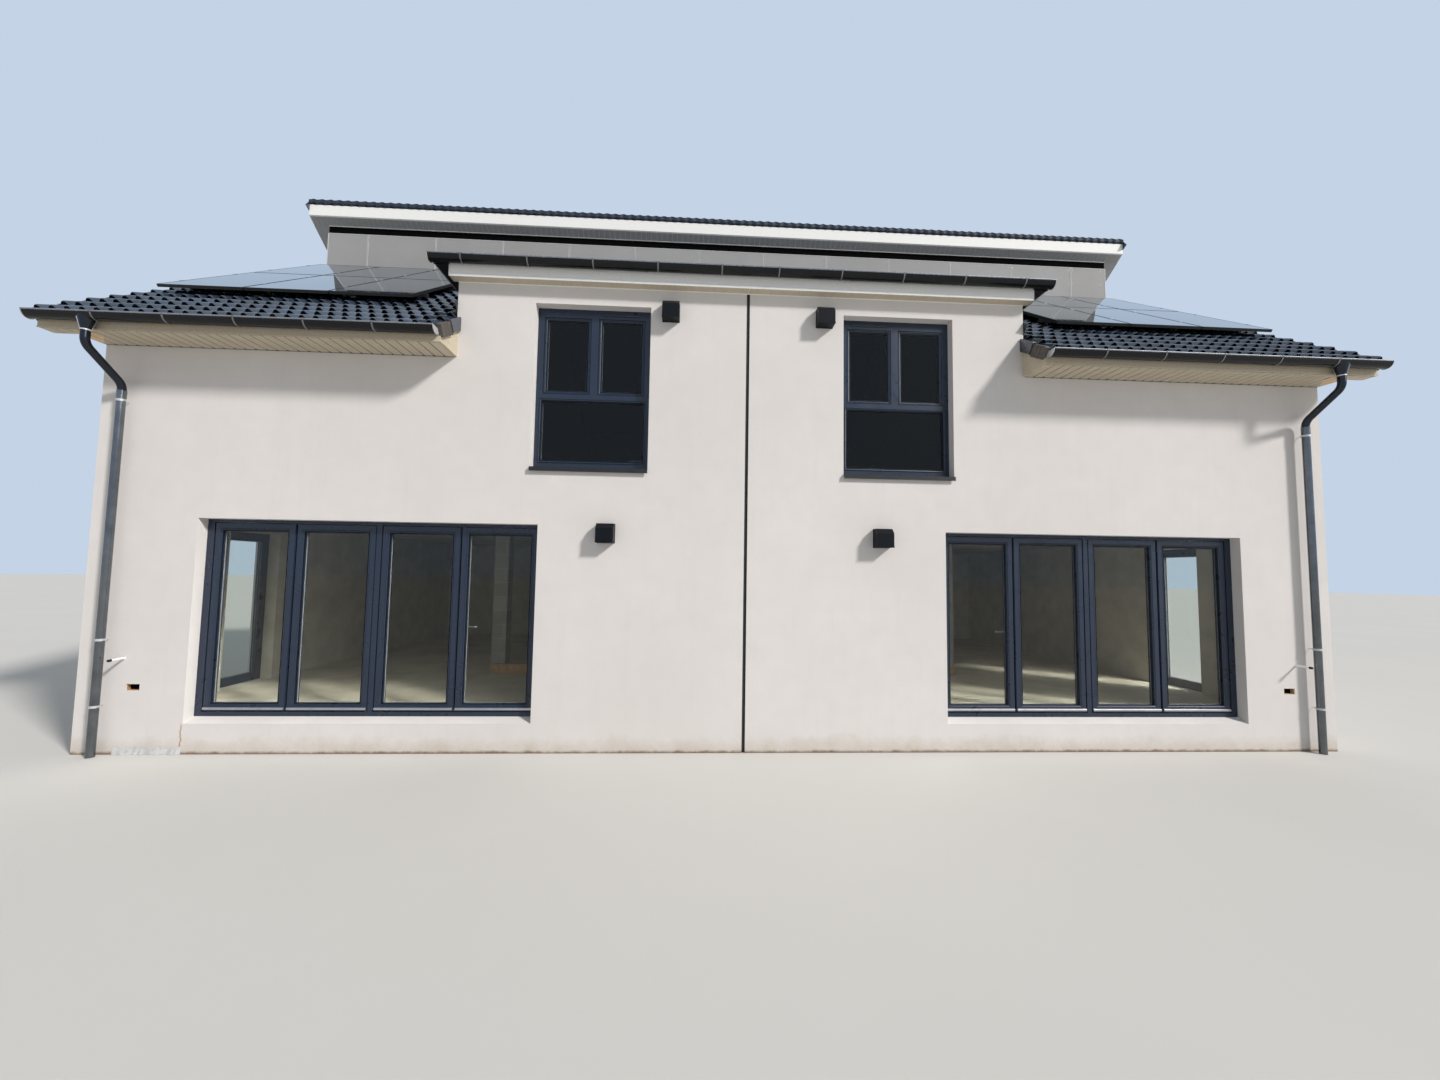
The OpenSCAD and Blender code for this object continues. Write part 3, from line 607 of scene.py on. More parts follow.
def pipe_look():
    """Grey zinc, cloudy and shiny, near black above the straight pipes as painted shade and dark
    reflection on the funnels and necks.
    """
    look = Look("pipe_sheet", (106, 110, 114), 0.14, 0.85)
    clouds = look.noise(6.0, 6.0, 0.6)
    runs = look.noise(5.0, 5.0, 0.6, look.stretched(9.0, 9.0, 0.6))
    colour = look.ramp(clouds, (96, 100, 104), (118, 122, 126))
    colour = look.mix(look.spread(runs, 0.55, 0.8, 0.0, 0.3), colour, (86, 89, 92))
    x, y, z = look.axes()
    # Near black above the straight pipes: painted shade and dark reflection
    look.colour(look.mix(look.math("GREATER_THAN", z, PIPE_TOP), colour, (50, 54, 62)))
    look.rough(look.spread(clouds, 0.3, 0.7, 0.08, 0.22))
    return look.material


def cell_look():
    """Dark solar cells with fine contact lines under glass."""
    look = Look("solar_cells", (14, 18, 30), 0.1, more={
        "Coat Weight": 0.6, "Coat Roughness": 0.04, "Coat Tint": (0.8, 0.92, 1.0, 1.0),
        "Specular Tint": (0.7, 0.88, 1.0, 1.0)})
    slope = look.node("ShaderNodeUVMap", uv_map="slope").outputs[0]
    u, v, _ = look.node("ShaderNodeSeparateXYZ", {0: slope}).outputs
    gap_u = look.spread(look.math("PINGPONG", u, CELL_U / 2), 0.0008, 0.0022, 1.0, 0.0)
    gap_v = look.spread(look.math("PINGPONG", v, CELL_V / 2), 0.0008, 0.0022, 1.0, 0.0)
    bars = look.spread(look.math("PINGPONG", u, CELL_U / 10), 0.0, 0.0007, 0.5, 0.0)
    lines = look.math("MAXIMUM", look.math("MAXIMUM", gap_u, gap_v), bars)
    sheen = look.ramp(look.noise(3.0, 3.0, 0.5), (11, 15, 26), (17, 23, 40))
    look.colour(look.mix(lines, sheen, (74, 84, 98)))
    look.rough(look.spread(look.noise(12.0, 5.0, 0.6), 0.4, 0.8, 0.02, 0.06))
    return look.material


def glass_look():
    """Insulating glass that lets the lamps through, clear below and darker greenish upstairs as a painted
    dark reflection.
    """
    pale = (236, 241, 238)
    look = Look("window_glass", pale, 0.0, more={"Transmission Weight": 1.0, "IOR": 1.32})
    x, y, z = look.axes()
    # Darker greenish glass upstairs: painted dark reflection
    look.colour(look.mix(look.math("GREATER_THAN", z, UPPER_Z), pale, (108, 117, 112)))
    clear = look.node("ShaderNodeBsdfTransparent", {"Color": (0.93, 0.95, 0.94, 1.0)})
    shadow = look.node("ShaderNodeLightPath").outputs["Is Shadow Ray"]
    both = look.node("ShaderNodeMixShader", {0: shadow, 1: look.shader.outputs[0], 2: clear.outputs[0]})
    look.fill(look.nodes["Material Output"], {"Surface": both.outputs[0]})
    return look.material


CELL_U = (MODULE_W - 0.03) / 6
CELL_V = (MODULE_L - 0.03) / 10

RENDER = render_look()
SCREED = screed_look()
BLOCKS = blockwork_look()
SEAL = plain_look("joint_seal", (32, 33, 36), (44, 45, 48), 0.8)
PANEL = panel_look()
BLACK = plain_look("black_metal", (22, 24, 26), (30, 32, 35), 0.5)
TIMBER = wood_look("raw_timber", (148, 104, 64), (206, 164, 116), 0.14)
# Raw pine, made brighter as painted sunlight on the soffits' outer corners
PINE_PAINTED_SUNLIT = wood_look("raw_pine_painted_sunlit", (192, 148, 104), (250, 228, 190), 0.09)
TILE = tile_look("tile_engobe", 0.25, 0.5, 0.5)
CAP = tile_look("cap_engobe", 0.6, 0.0, 0.25)
PALE = board_look("pale_board", (184, 172, 150), (200, 189, 168))
GREY_BOARD = board_look("grey_board", (144, 146, 148), (160, 162, 164))
WHITE = board_look("white_board", (236, 236, 234), (244, 244, 242))
# Near-black gutter zinc: a painted dark reflection, where the downpipes' zinc is grey
GUTTER = plain_look("gutter_sheet", (12, 14, 16), (18, 20, 23), 0.16, specular=0.28)
# Light zinc of the gutters' rolled rims: painted highlight along their top edge
RIM_HIGHLIGHT = plain_look("gutter_rim_painted_highlight", (132, 136, 142), (146, 150, 156), 0.25, metallic=0.5)
PIPE = pipe_look()
BRACKET = plain_look("bracket_sheet", (112, 114, 116), (126, 128, 130), 0.4, metallic=0.4)
# Pale zinc for gutter ends, pipe clamps, funnel seams and raised verge trims: painted highlight on these
# edges
ZINC_HIGHLIGHT = plain_look("zinc_painted_highlight", (188, 190, 193), (206, 208, 210), 0.4, metallic=0.35)
CELLS = cell_look()
ALUMINIUM = plain_look("aluminium", (176, 178, 181), (192, 194, 197), 0.32, metallic=0.9)
TRIM_HIGHLIGHT = plain_look("trim_painted_highlight", (194, 195, 195), (206, 206, 206), 0.45)
SPACER_BAR = plain_look("spacer_bar", (112, 115, 118), (124, 127, 130), 0.45)
FRAME = plain_look("dark_frame", (31, 42, 60), (34, 46, 65), 0.3, 1.5, 320.0, 0.0002)
HOOD = plain_look("dark_hood", (9, 12, 17), (12, 16, 22), 0.45, specular=0.18)
# Lighter grey-brown copy of the tiles for the first inner verge lap: painted sunlight on it
SUNLIT_LAP = plain_look("painted_sunlit_lap", (72, 69, 64), (92, 87, 80), 0.6, 30.0)
FOIL = plain_look("foot_foil", (176, 177, 180), (206, 206, 208), 0.3, 12.0)
# Near black without gloss for the vent band and recess backs: the vent's own black and painted shade of
# the hollows behind
VOID_SHADE = plain_look("void_painted_shade", (6, 6, 7), (9, 9, 10), 0.9, specular=0.05)
RUBBER = plain_look("black_rubber", (18, 19, 20), (24, 25, 26), 0.75)
GLASS = glass_look()
STEEL = plain_look("dark_metal", (58, 61, 65), (72, 75, 79), 0.38, metallic=0.6)

# Material slot for each look of the added pieces
SLOTS = {look.name: slot for slot, looks in {
    "roof_tile": (TILE, CAP, SUNLIT_LAP), "joint_seal": (RUBBER,), "black_metal": (BLACK, VOID_SHADE),
    "pale_board": (PALE, GREY_BOARD), "white_board": (WHITE,), "timber": (TIMBER, PINE_PAINTED_SUNLIT),
    "zinc": (GUTTER, RIM_HIGHLIGHT, PIPE, BRACKET, ZINC_HIGHLIGHT), "solar_glass": (CELLS,),
    "aluminium": (ALUMINIUM, TRIM_HIGHLIGHT, SPACER_BAR, FOIL), "dark_frame": (FRAME,),
    "dark_metal": (STEEL, HOOD)}.items() for look in looks}

# Finish of the CAD nodes, with the width of their broken edges
NODE_LOOKS = (
    (SCREED, 0, "ground_slabs upper_floors"),
    (RENDER, 0, "front_piers door_thresholds front_bands rear_ground_walls knee_walls"),
    (RENDER, 0, "raised_walls gable_ground_walls gable_upper_walls clerestory_wall"),
    (BLOCKS, 0, "party_walls"), (BLOCKS, 0.006, "inner_piers"), (SEAL, 0, "joint_strips"),
    (PANEL, 0.0015, "clerestory_panels"), (VOID_SHADE, 0, "vent_strip"),
    (TIMBER, 0, "front_decks rear_deck"), (BLACK, 0, "raised_decks raised_cheeks"),
    (TILE, 0, "front_tiles rear_tiles raised_tiles"), (PALE, 0, "low_eave_boards"),
    (WHITE, 0, "raised_eave_boards top_boards"), (GUTTER, 0, "gutters"), (PIPE, 0, "downpipes"),
    (BLACK, 0.002, "solar_modules window_sills"), (STEEL, 0, "solar_rails"),
    (FRAME, 0.003, "window_frames glazed_door_frames"), (FRAME, 0.004, "entrance_doors"),
    (GLASS, 0, "window_panes"), (HOOD, 0.006, "wall_hoods"))
FINISH = {name: (look, width) for look, width, names in NODE_LOOKS for name in names.split()}


def dress_nodes():
    """Gives every CAD node its finish, and breaks the edges of the fine ones."""
    for name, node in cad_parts.items():
        if name.startswith("leaf_"):
            look, width = FRAME, 0.003
        elif name.startswith("pane_"):
            look, width = GLASS, 0
        else:
            look, width = FINISH[name]
        node.data.materials.clear()
        node.data.materials.append(look)
        for face in node.data.polygons:
            face.material_index = 0
        if width:
            soften(node, width)


# Roof tiles

TILE_W = 0.307
TILE_GAUGE = 0.286
TILE_LAP = 0.035
TILE_T = 0.012
TILE_BASE = -0.052
TILE_LIFT = 0.018
TILE_FILL = 0.997
HUMP_FRONT = 0.054
HUMP_HEAD = 0.02
HUMP_STEPS = (0.0, 0.06, 0.42, 0.88, 1.0, 0.88, 0.42, 0.06)
NOSE = 0.01


def humps():
    """Share of a tile's width and of its hump's height, at steps over its two humps."""
    steps = 2 * len(HUMP_STEPS)
    return [(k / steps, HUMP_STEPS[k % len(HUMP_STEPS)]) for k in range(steps + 1)]


def tile_loops(roof, x0, width, s0, length, lift, rise):
    """Loops across one tile from its left to its right edge."""
    s = s0 + random.uniform(-0.0025, 0.0025)
    lift += random.uniform(-0.0015, 0.002)
    tilt = random.uniform(-0.0015, 0.0015)
    loops = []
    for share, hump in humps():
        x = x0 + width * share * TILE_FILL
        sway = tilt * (share - 0.5)
        front = TILE_BASE + lift + rise * hump + sway
        head = TILE_BASE + HUMP_HEAD * hump + sway
        loops.append([
            roof.at(x, s + 0.002, front), roof.at(x, s, front + TILE_T * 0.6),
            roof.at(x, s + NOSE, front + TILE_T), roof.at(x, s + length, head + TILE_T),
            roof.at(x, s + length, head)])
    return loops


def lay_tiles(shape, roof, x0, x1, s0, s1, skip=None):
    """Rows of tiles from x0 to x1 and s0 to s1. skip says where none lies."""
    cols, width = even_steps(x1 - x0, TILE_W)
    rows, gauge = even_steps(s1 - s0, TILE_GAUGE)
    for row in range(rows):
        for col in range(cols):
            x = x0 + col * width
            s = s0 + row * gauge
            if skip and skip(x + width / 2, s + gauge / 2):
                continue
            lap = TILE_LAP if row < rows - 1 else 0.0
            lift, rise = (TILE_LIFT, HUMP_FRONT) if s > 0 else (roof.eave_lift, roof.eave_hump)
            loops = tile_loops(roof, x, width, s, gauge + lap, lift, rise)
            shape.bridge(loops)
            shape.tones += [random.random()] * (len(loops) * len(loops[0]))


def front_tiles():
    shape = Shape()
    for _ in quarters(shape, ways=FRONT):
        lay_tiles(shape, MAIN, RAISED_X, EDGE, 0, MAIN.length(CLAD_Y))
    piece("front_tile_courses", shape, TILE, smooth=40, replaces=("front_tiles",))


def rear_tiles():
    """The rear roof's tiles, left open where the raised centre comes through."""
    shape = Shape(quarter(1, -1))
    low = MAIN.length(CLAD_Y)
    for x0, x1 in ((RAISED_X, EDGE), (-EDGE, -RAISED_X)):
        lay_tiles(shape, MAIN, x0, x1, 0, low)
    lay_tiles(shape, MAIN, -EDGE, EDGE, low, MAIN.length(RIDGE_Y))
    piece("rear_tile_courses", shape, TILE, smooth=40, replaces=("rear_tiles",))


def raised_tiles():
    shape = Shape()
    for _ in quarters(shape, sides=SPAN):
        lay_tiles(shape, RAISED, -RAISED_EDGE, RAISED_EDGE, 0, RAISED.length(CLAD_Y), sunk_in_low_roof)
    piece("raised_tile_courses", shape, TILE, smooth=40, replaces=("raised_tiles",))


def sunk_in_low_roof(x, s):
    """Whether the raised roof's tile there would lie in the low roof's tiles."""
    y = s * math.cos(RAISED.pitch) - RAISED.out
    return abs(x) > RAISED_X and RAISED.top(y) < MAIN.top(y) + 0.03


# Verges and the top edge

FLAP_T = 0.012
FLAP_DEPTH = 0.135
FLAP_LAP = 0.012
FLAP_NOSE = 0.012
FLAP_CREST = TILE_BASE + TILE_T + TILE_LIFT + 0.3 * HUMP_FRONT
INNER_FLAP_DEPTH = 0.15
INNER_FLAP_X = RAISED_X - 0.05
VERGE_TONE = 0.6
CAP_TONE = 0.5
CAP_RISE = -0.004
CAP_BACK = 0.12
CAP_OUT = 0.03
CAP_FACE = 0.045
CAP_HUMP = 0.034


def flap(shape, roof, x0, x1, s0, length, depth):
    """Upright lap of one verge tile, its front end standing a little higher."""
    front = ((0, -depth), (0, -FLAP_NOSE), (FLAP_NOSE, 0))
    back = ((length, -TILE_LIFT), (length, -depth - TILE_LIFT))
    shape.bridge([[roof.at(x, s0 + s, FLAP_CREST + h) for s, h in front + back] for x in (x0, x1)])


def verge_laps(name, shape):
    """Makes a piece of verge laps in one tone of the tiles."""
    shape.tones = [VERGE_TONE] * len(shape.points)
    piece(name, shape, TILE, bevel=0.003)


def verge_flaps():
    """Verge tiles' laps along the gables, and over the ends of the low eaves."""
    shape, sunlit, dark = blank(3)
    inner = INNER_FLAP_X
    gauge = even_steps(MAIN.length(CLAD_Y), TILE_GAUGE)[1]
    for side, way in quarters(shape, sunlit, dark):
        length = MAIN.length(CLAD_Y if way > 0 else RIDGE_Y)
        for row in range(int(length / gauge + 0.5)):
            run = min(gauge + FLAP_LAP, length - row * gauge)
            flap(shape, MAIN, EDGE - 0.004, EDGE + FLAP_T, row * gauge, run, FLAP_DEPTH)
        # First inner lap and its ribs in the lighter look: painted sunlight; the second lap keeps the
        # tiles' tone
        flap(sunlit, MAIN, inner, RAISED_X, 0.0, gauge - 0.03, INNER_FLAP_DEPTH)
        for share in (0.3, 0.55, 0.8):
            flap(sunlit, MAIN, inner - 0.004, inner, share * gauge, 0.012, INNER_FLAP_DEPTH)
        # Black strip where the second inner lap stands over the first: painted shadow in that step
        flap(dark, MAIN, inner + 0.006, RAISED_X, gauge - 0.034, 0.04, INNER_FLAP_DEPTH - 0.012)
        flap(shape, MAIN, inner, RAISED_X, gauge, gauge + FLAP_LAP, INNER_FLAP_DEPTH)
    piece("painted_sunlit_verge_laps", sunlit, SUNLIT_LAP, bevel=0.003)
    piece("verge_lap_painted_shadows", dark, RUBBER)
    verge_laps("verge_laps", shape)


def top_edge_caps():
    """Caps over the top row of the rear roof, with a face that hangs in front of it."""
    shape, gap = blank(2, quarter(1, -1))
    cols, width = even_steps(2 * EDGE, TILE_W)
    s_top = MAIN.length(RIDGE_Y)
    for col in range(cols):
        loops = []
        for share, hump in humps():
            x = -EDGE + (col + TILE_FILL * share) * width
            _, back_y, back_z = MAIN.at(x, s_top - CAP_BACK, CAP_RISE + CAP_HUMP * hump)
            _, y, z = MAIN.at(x, s_top + CAP_OUT, CAP_RISE + CAP_HUMP * hump)
            foot_z = MAIN.at(x, s_top, CAP_RISE)[2] - CAP_FACE
            loops.append([
                (x, back_y, back_z), (x, y, z), (x, y, foot_z), (x, y - TILE_T, foot_z),
                (x, y - TILE_T, z - TILE_T), (x, back_y, back_z - TILE_T)])
        shape.bridge(loops)
    shape.tones = [CAP_TONE] * len(shape.points)
    piece("top_edge_caps", shape, CAP, smooth=40)
    # Black board behind the gap under the caps' faces: painted shadow in that gap
    low = MAIN.deck_top(RIDGE_Y)
    gap.box(0.01 - EDGE, EDGE - 0.01, RIDGE_Y - 0.03, RIDGE_Y - 0.012, low - 0.01, low + 0.05)
    piece("top_edge_painted_shadow", gap, BLACK)


# Boards

TRIM_T = 0.01
TRIM_H = 0.022
BOARD_STEP = 0.1
SOFFIT_STEP = 0.1225
BOARD_SLOT = 0.012
BOARD_FACE = 0.006
VERGE_FACE = 0.004
TOP_SLOT = 0.004
BOARD_DROP = BOARD_T / math.cos(PITCH)
RAW_CORNER = 0.24
RAW_EDGE = -0.33


def lay_boards(shape, x0, x1, profile, step=SOFFIT_STEP, gap=BOARD_SLOT):
    """Boards side by side from x0 to x1, profile of the lower edge as (y, z)."""
    count, step = even_steps(x1 - x0, step)
    section = [(y, z - BOARD_FACE) for y, z in profile] + profile[::-1]
    for k in range(count):
        shape.along_x(section, x0 + k * step + gap / 2, x0 + (k + 1) * step - gap / 2)


def eave_soffits():
    """Boards under the low eaves, a black sheet behind their slots and black ticks along the wall as
    painted shade in the joints, plain ones under the raised.
    """
    low, high, dark = blank(3)
    back = BOARD_T - MAIN.fascia_out
    z = MAIN.soffit_z
    foot = (z + VERGE_DROP - MAIN.under(0)) / math.tan(PITCH)
    span = HALF_W - RAISED_X
    joints = round(span / SOFFIT_STEP)
    for _ in quarters(low, dark):
        lay_boards(low, RAISED_X, HALF_W, [(back, z), (-0.002, z)])
        lay_boards(low, HALF_W, EDGE - BOARD_T, [(back, z), (foot, z)])
        # Black sheet behind the slots and a black strip along the wall: painted shade in the grooves and
        # at the wall line
        dark.box(RAISED_X + 0.01, HALF_W, back, -0.004, z - 0.001, z)
        dark.box(RAISED_X + 0.01, HALF_W, -0.01, -0.001, z - BOARD_FACE - 0.002, z)
        # Black ticks at the board joints along the wall: painted shadow in the gaps
        for k in range(1, joints):
            x = RAISED_X + k * span / joints
            dark.box(x - 0.009, x + 0.009, -0.024, -0.001, z - BOARD_FACE - 0.004, z)
    z = RAISED.soffit_z
    for _ in quarters(high, sides=SPAN):
        for side in HALVES:
            high.box(side * 0.003, side * RAISED_BOX_X, -RAISED.fascia_out, -0.002, z - BOARD_FACE, z)
    piece("low_soffit_boards", low, PALE, bevel=0.0015)
    piece("raised_soffit_boards", high, PALE, bevel=0.0015)
    piece("soffit_painted_shade", dark, BLACK)


def top_soffit():
    """Grey boards under the top roof, with the trim that closes them over the vent."""
    shape, trim = blank(2, quarter(1, 1))
    edge = EDGE - BOARD_T
    ends = (CLAD_Y - TOP_OUT + BOARD_T, CLAD_Y + PANEL_T)
    profile = [(y, MAIN.under(2 * HALF_D - y) - BOARD_DROP) for y in ends]
    lay_boards(shape, -edge, edge, profile, BOARD_STEP, TOP_SLOT)
    y, z = profile[1]
    trim.box(-HALF_W, HALF_W, y - 0.012, y, z - 0.012, z)
    piece("top_soffit_boards", shape, GREY_BOARD, bevel=0.0015)
    piece("top_soffit_trim", trim, WHITE)


def vent_gap():
    """Carries the dark vent over the joint between the two dwellings, its near black partly painted shade.
    """
    low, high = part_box("vent_strip")
    shape = Shape()
    shape.box(-JOINT_W / 2, JOINT_W / 2, low[1], high[1], low[2], high[2])
    piece("vent_gap", shape, VOID_SHADE)


def rear_verge_soffits():
    """Grey boards under the rear roof's verges, from its eave up to the clad wall."""
    shape = Shape()
    foot = (MAIN.soffit_z + BOARD_DROP - MAIN.under(0)) / math.tan(PITCH)
    line = [(y, MAIN.under(y) - BOARD_DROP) for y in (foot, 2 * HALF_D - CLAD_Y - PANEL_T)]
    section = [(y, z - VERGE_FACE) for y, z in line] + line[::-1]
    for _ in quarters(shape, ways=REAR):
        shape.along_x(section, HALF_W + 0.001, EDGE)
    piece("rear_verge_soffits", shape, GREY_BOARD)


def eave_trims():
    """Drip trims under the fascias, wall trims of the raised soffits, and their corners."""
    shape, low = blank(2)
    edge = RAISED_BOX_X
    y = -RAISED.fascia_out
    z = RAISED.soffit_z
    for _ in quarters(shape, sides=SPAN):
        shape.box(-edge - 0.004, edge + 0.004, y - TRIM_T, y + 0.006, z - 0.006, z + TRIM_H)
        shape.box(-RAISED_X, RAISED_X, -0.016, 0.0, z - 0.012, z)
        for x in (-edge, edge):
            shape.box(x - 0.006, x + 0.006, y - TRIM_T, y + 0.02, z, RAISED_VERGE_Z)
    y = -MAIN.fascia_out
    z = MAIN.soffit_z
    for _ in quarters(low):
        low.box(RAISED_X, EDGE, y - 0.005, y, z - 0.004, z + 0.012)
    piece("eave_trims", shape, WHITE, bevel=0.002)
    piece("low_eave_trims", low, PALE)


def raised_verge_trims():
    """Bright edge profiles under the raised verges, and the verge tiles over them."""
    shape, laps = blank(2)
    meet = (RAISED_VERGE_Z - MAIN.top(0)) / math.tan(PITCH)
    edge = RAISED_EDGE
    z = RAISED_VERGE_Z
    rows, gauge = even_steps(RAISED.length(CLAD_Y), TILE_GAUGE)
    for _ in quarters(shape, laps):
        shape.box(edge - 0.004, edge + 0.006, -RAISED.fascia_out, meet, z - 0.005, z + 0.012)
        for row in range(rows):
            y = row * gauge * math.cos(RAISED.pitch) - RAISED.out
            depth = min(FLAP_DEPTH, RAISED.top(y) - MAIN.top(y) - 0.02)
            if depth > 0.05:
                flap(laps, RAISED, edge - 0.004, edge + FLAP_T, row * gauge, gauge + FLAP_LAP, depth)
    piece("raised_verge_trims", shape, ZINC_HIGHLIGHT)
    verge_laps("raised_verge_laps", laps)


def raw_soffit_corners():
    """Untreated boards left at the soffits' outer ends, brightened as painted sunlight."""
    shape = Shape()
    z = MAIN.soffit_z
    x = HALF_W - RAW_CORNER
    outline = [(HALF_W, -0.02), (HALF_W, RAW_EDGE), (x, RAW_EDGE), (x, -RAW_CORNER - 0.02)]
    for _ in quarters(shape):
        shape.bridge([[(x, y, z - t) for x, y in outline] for t in (0.009, 0.0)])
    piece("raw_soffit_corners", shape, PINE_PAINTED_SUNLIT)


# Gutters and downpipes

BEAD_R = 0.009
STRAP_W = 0.016
LAP_EVERY = 3.0
LOW_BRACKETS = (0.66, 0.735)
RAISED_BRACKETS = (0.35, 0.777)
SEAM_R = 0.003
SEAM_TURNS = (-48, 132)
PIN_R = 0.005
BOLT_R = 0.006
CLAMP_EARS = ((-1, 0.022), (1, 0.01))


def band(y, z, inner, outer, start, end, steps):
    """Section of a sheet band bent from one angle to another."""
    return arc(y, z, outer, start, end, steps) + arc(y, z, inner, end, start, steps)


def evenly(first, step, end):
    """Places from the first one on that don't pass the end."""
    return [first + k * step for k in range(int((end - first) / step) + 1)]


def trim_gutter(trims, roof, x0, x1, places):
    """Rolled rim, end plates, brackets and laps of one gutter from x0 to x1."""
    rims, ends, brackets, laps = trims
    y = -roof.fascia_out - GUTTER_R
    z = roof.rim_z()
    front = y - GUTTER_R
    rims.tube([(x0, front, z), (x1, front, z)], BEAD_R)
    for x in (x0, x1):
        ends.along_x(arc(y, z, GUTTER_R + 0.005, 180, 360, 16), x - 0.003, x + 0.003)
    strap = band(y, z, GUTTER_R + 0.0005, GUTTER_R + 0.0045, 180, 300, 10)
    hook = band(front, z, BEAD_R + 0.0005, BEAD_R + 0.004, 230, -20, 8)
    for x in places:
        for section in (strap, hook):
            brackets.along_x(section, x - STRAP_W / 2, x + STRAP_W / 2)
    sleeve = band(y, z, GUTTER_R + 0.0005, GUTTER_R + 0.0025, 180, 360, 16)
    joints = int((x1 - x0) / LAP_EVERY)
    for k in range(joints):
        x = x0 + (k + 1) * (x1 - x0) / (joints + 1)
        laps.along_x(sleeve, x - 0.03, x + 0.03)


def gutter_trims():
    """Rims, end plates, laps and brackets of every gutter."""
    trims = blank(4)
    places = [RAISED_X + x for x in evenly(*LOW_BRACKETS, GUTTER_END - RAISED_X)]
    for _ in quarters(*trims):
        trim_gutter(trims, MAIN, RAISED_X, GUTTER_END, places)
    end = RAISED_EDGE + 0.03
    places = [side * x for side in HALVES for x in evenly(*RAISED_BRACKETS, end)]
    for _ in quarters(*trims, sides=SPAN):
        trim_gutter(trims, RAISED, -end, end, places)
    names = ("gutter_rims", "gutter_ends", "gutter_brackets", "gutter_laps")
    for name, shape, look in zip(names, trims, (RIM_HIGHLIGHT, ZINC_HIGHLIGHT, BRACKET, GUTTER)):
        piece(name, shape, look, smooth=40)


def pipe_axis():
    """Axis of a downpipe as (y, z) from the funnel's foot to the ground, its neck in two bends."""
    turns = [NECK_TURN * k / NECK_STEPS for k in range(NECK_STEPS + 1)]
    bend = [(NECK_BEND * (1 - math.cos(a)), NECK_BEND * math.sin(a)) for a in turns]
    upper = [(FUNNEL_Y + out, NECK_Z + NECK_REACH - drop) for out, drop in bend]
    lower = [(-PIPE_Y - out, PIPE_TOP + drop) for out, drop in reversed(bend)]
    return [(FUNNEL_Y, FUNNEL_Z + 0.01), *upper, *lower, (-PIPE_Y, 0.0)]


def funnel(shape):
    """Cone from the neck up to the gutter, its top shaped to the gutter's underside."""
    rings = [(PIPE_R, FUNNEL_Z), (PIPE_R + 0.004, FUNNEL_Z + 0.02)]
    rings += [(radius, None) for radius in (FUNNEL_R, 0.04, 0.012)]
    loops = []
    for radius, z in rings:
        loop = []
        for c, s in circle(32):
            off = radius * s
            under = MAIN.rim_z() - math.sqrt((GUTTER_R - 0.0005) ** 2 - off ** 2)
            loop.append((PIPE_X + radius * c, FUNNEL_Y + off, z or under))
        loops.append(loop)
    shape.bridge(loops)


def downpipes():
    """Funnel, bent neck, socket and straight pipe at every corner, for the plain CAD pipes."""
    shape = Shape()
    sleeve = ((-0.002, -0.115), (0.003, -0.115), (0.004, -0.003), (0.001, 0.0), (-0.002, 0.0))
    for _ in quarters(shape):
        funnel(shape)
        shape.tube([(PIPE_X, y, z) for y, z in pipe_axis()], PIPE_R, 32)
        shape.turned(PIPE_X, -PIPE_Y, [(PIPE_R + out, PIPE_TOP + h) for out, h in sleeve])
    piece("downpipe_tubes", shape, PIPE, smooth=40, replaces=("downpipes",))


def collar(shape, y, z, out, height):
    """Ring round a pipe, which stands out from it and starts at z."""
    r = PIPE_R
    shape.turned(PIPE_X, y, [(r - 0.002, z), (r + out, z), (r + out, z + height), (r - 0.002, z + height)])


def pipe_trims():
    """Clamps with their bolts and wall pins, seams and foot rings of the funnels."""
    shape = Shape()
    r = PIPE_R
    for _ in quarters(shape):
        collar(shape, FUNNEL_Y, FUNNEL_Z - 0.012, 0.006, 0.014)
        for turn in map(math.radians, SEAM_TURNS):
            out = Vector((math.cos(turn), math.sin(turn), 0))
            foot = Vector((PIPE_X, FUNNEL_Y, FUNNEL_Z + 0.004)) + out * (r + 0.001)
            high = MAIN.rim_z() - math.sqrt(GUTTER_R ** 2 - (FUNNEL_R * out.y) ** 2)
            shape.tube([foot, Vector((PIPE_X, FUNNEL_Y, high)) + out * (FUNNEL_R + 0.001)], SEAM_R, 8)
        for z in CLAMP_ZS:
            collar(shape, -PIPE_Y, z, 0.005, CLAMP_H)
            mid = z + CLAMP_H / 2
            shape.tube([(PIPE_X, -PIPE_Y + r, mid), (PIPE_X, 0.0, mid)], PIN_R, 10)
            for turn, reach in CLAMP_EARS:
                shape.box(PIPE_X + turn * r, PIPE_X + turn * (r + reach), -PIPE_Y - 0.004,
                          -PIPE_Y + 0.004, z, z + CLAMP_H)
            bolt_x = PIPE_X - r - 0.014
            shape.tube([(bolt_x, -PIPE_Y - 0.018, mid), (bolt_x, -PIPE_Y + 0.016, mid)], BOLT_R, 6)
    piece("pipe_clamps", shape, ZINC_HIGHLIGHT, smooth=40)


# Clad wall and flashings

PANEL_TRIM = 0.009
SCREW_REACH = 0.585
SCREW_EDGE = 0.05
FLASH_T = 0.003
FLASH_H = 0.016


